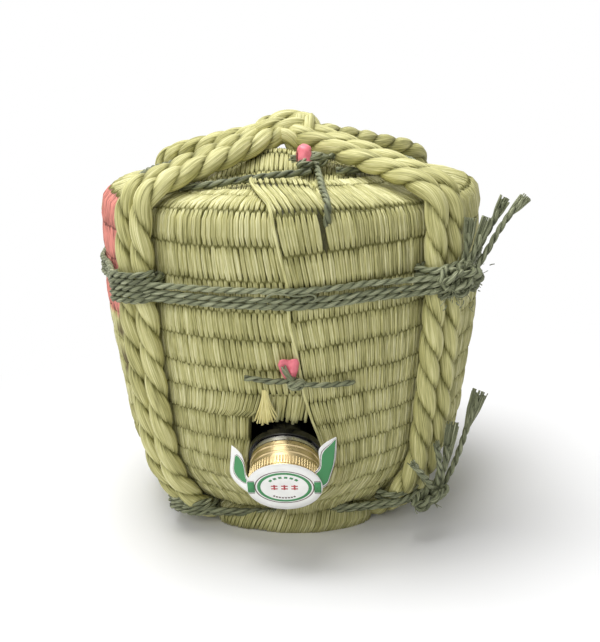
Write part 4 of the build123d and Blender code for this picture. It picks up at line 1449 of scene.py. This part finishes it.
# small marks along an arc, each turned square to its spoke
def arcPrint(arc):
    wide, tall = arc["place"]
    return [
        markPrint(wide * math.cos(turn), tall * math.sin(turn), *arc["size"], turn + math.pi / 2)
        for turn in np.radians(arc["turns"])
    ]


def wingNormal(side):
    across, ahead, up = seal["wingNormal"]
    return np.array((across if side == "right" else -across, ahead, up))


def wingEdge(edge):
    (hingeX, hingeY, hingeZ), (across, ahead, up) = seal["wingHinge"], seal["wingNormal"]
    y, z = seal["underside"]
    (rootX, rootZ), *rest = edge
    points = [(rootX, y - (rootZ - z) * 0.5 / 0.866, rootZ)]
    for x, z in rest:
        points.append((x, hingeY - (across * (abs(x) - hingeX) + up * (z - hingeZ)) / ahead, z))
    return evenly(nurbsLine(points), 0.5)[0]


# a strip along a wing between its two edges, from bottom to ceiling; without half it is as wide as the wing
def wingPlate(side, bottom, ceiling, half, lifts, middle=(0.5, 0.5), blunt=0.12):
    share = np.linspace(bottom, ceiling, 25)
    inner, outer = (
        np.stack([np.interp(share * (len(line) - 1), range(len(line)), values) for values in line.T], -1)
        for line in (wingEdge(edge) for edge in seal["wings"][side])
    )
    width = np.full(25, 0.5)
    if half is not None:
        width = half * np.sin(np.linspace(blunt, math.pi - 0.12, 25)) ** 0.6
    place = (np.linspace(*middle, 25)[:, None] + np.linspace(-1, 1, 7)[None] * width[:, None])[..., None]
    body = inner[:, None] * (1 - place) + outer[:, None] * place
    return plate(body + wingNormal(side) * lifts[1], body + wingNormal(side) * lifts[0])


def makeSeal():
    angle = np.linspace(0, tau, 97)[None]
    low, high = seal["paper"]
    rings = [(0, high), (5, high), (10, high), (14, high), (seal["radius"], high - 0.06),
             (seal["radius"], low), (10, low), (0, low)]
    radii, lifts = np.array(rings).T[..., None]
    paper = [sealPlace(radii * np.cos(angle), radii * np.sin(angle), lifts)]
    green, line = ([ringPrint(*seal["ringPrints"][key])] for key in ("green", "line"))
    place, wide, tall = seal["bar"]
    endPlace, gap, endWide, endTall = seal["barEnds"]
    for side, sign in [("right", 1), ("left", -1)]:
        paper.append(wingPlate(side, 0.0, 1.0, None, (-0.15, 0.15)))
        bottom, ceiling, half, *shape = seal["leaves"][side]
        for (more, share, lifts), plates in zip(seal["leafLayers"].values(), (line, paper, green)):
            plates.append(wingPlate(side, bottom - more, ceiling + more, half * share, lifts, *shape))
        green.append(markPrint(sign * place, 0, wide, tall))
        for end in (1, -1):
            line.append(markPrint(sign * endPlace, end * (tall / 2 + gap), endWide, endTall))
    green += arcPrint(seal["dots"])
    line += arcPrint(seal["ticks"])
    crosses = seal["crosses"]
    red = []
    for x in crosses["places"]:
        red += [markPrint(x, y, *crosses["barSize"]) for y in crosses["bars"]]
        red.append(markPrint(x, *crosses["stem"], lift=0.46))
    material = plainMaterial("sealPaper", (248, 248, 244), 0.5, grain=0.15)
    shells = [oneShell(body) for body in paper]
    shellObject("sealPaper", shells, material, ["paper_seal"], body="seal")
    for (name, ink), plates in zip(seal["inks"].items(), (green, line, red)):
        shellObject(name, [oneShell(body) for body in plates], plainMaterial(*ink), body="seal")


# floor and light; the floor and the world turn plain white away from the cask
stage = {
    "floor": (236, 236, 237), "middle": (0.10, -0.10, 0), "fade": (0.17, 0.42), "world": 0.34,
    "lamps": {  # place, aim, width, watts
        "overhead": ((-0.22, 0.10, 1.3), (0, 0, 0.1), 0.9, 19.0),
        "front": ((-0.40, -1.3, 0.8), (0, 0, 0.1), 0.8, 7.0),
        "left": ((-1.2, -0.4, 0.6), (0, 0, 0.1), 0.6, 2.0),
    },
}


# 1 where a ray comes from the camera, a mirror or a glass, 0 where it only lights
def seenDirectly(tree):
    path = wire(tree, "ShaderNodeLightPath").outputs
    seen = calc(tree, "MAXIMUM", path["Is Camera Ray"], path["Is Glossy Ray"])
    return calc(tree, "MAXIMUM", seen, path["Is Transmission Ray"])


def floorMaterial():
    material, tree, shader = newMaterial("paleFloor")
    shader["Base Color"].default_value = srgb(*stage["floor"])
    shader["Roughness"].default_value = 0.9
    shader["Specular IOR Level"].default_value = 0.1
    ends = {0: objectPlace(tree), 1: stage["middle"]}
    away = wire(tree, "ShaderNodeVectorMath", ends, operation="DISTANCE").outputs["Value"]
    start, end = stage["fade"]
    fade = {0: away, 1: start, 2: end}
    far = wire(tree, "ShaderNodeMapRange", fade, interpolation_type="SMOOTHSTEP").outputs[0]
    glow = wire(tree, "ShaderNodeEmission", {"Color": (1, 1, 1, 1), "Strength": 1.0}).outputs[0]
    share = calc(tree, "MULTIPLY", seenDirectly(tree), far)
    mix = wire(tree, "ShaderNodeMixShader", {0: share, 1: tree.nodes["Principled BSDF"].outputs[0], 2: glow})
    tree.links.new(mix.outputs[0], tree.nodes["Material Output"].inputs["Surface"])
    return material


def makeFloor():
    bm = bmesh.new()
    bmesh.ops.create_grid(bm, x_segments=8, y_segments=8, size=6)
    mesh = bpy.data.meshes.new("floor")
    bm.to_mesh(mesh)
    bm.free()
    mesh.materials.append(floorMaterial())
    floor = bpy.data.objects.new("floor", mesh)
    bpy.context.scene.collection.objects.link(floor)


def makeLight():
    world = bpy.data.worlds.new("world")
    world.use_nodes = True
    bpy.context.scene.world = world
    tree = world.node_tree
    background = tree.nodes["Background"].inputs
    background["Color"].default_value = (1, 1, 1, 1)
    strength = remap(tree, seenDirectly(tree), 0.0, 1.0, stage["world"], 1.0)
    tree.links.new(strength, background["Strength"])
    for name, (place, aim, width, watts) in stage["lamps"].items():
        data = bpy.data.lights.new(name, "AREA")
        data.size = width
        data.energy = watts
        lamp = bpy.data.objects.new(name, data)
        lamp.location = place
        lamp.rotation_euler = (Vector(aim) - Vector(place)).to_track_quat("-Z", "Y").to_euler()
        bpy.context.scene.collection.objects.link(lamp)


makeFloor()
makeLight()
print("stage lit")

makeSeal()
print("seal printed")

# finishes of the bottle, ring, cap and liner, which stay as the solids give them
finishes = {
    "bottle": plainMaterial("blackGlaze", (4, 5, 7), 0.16),
    "tamper_ring": plainMaterial("satinSilver", (198, 196, 188), 0.28, 1.0, 0.05),
    "screw_cap": plainMaterial("satinGold", (206, 186, 142), 0.30, 1.0, 0.05),
    "cap_liner": plainMaterial("linerFoam", (232, 232, 226), 0.7, grain=0.3),
}
for name, material in finishes.items():
    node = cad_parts[name]
    node.data.materials.clear()
    node.data.materials.append(material)
print("finishes set")
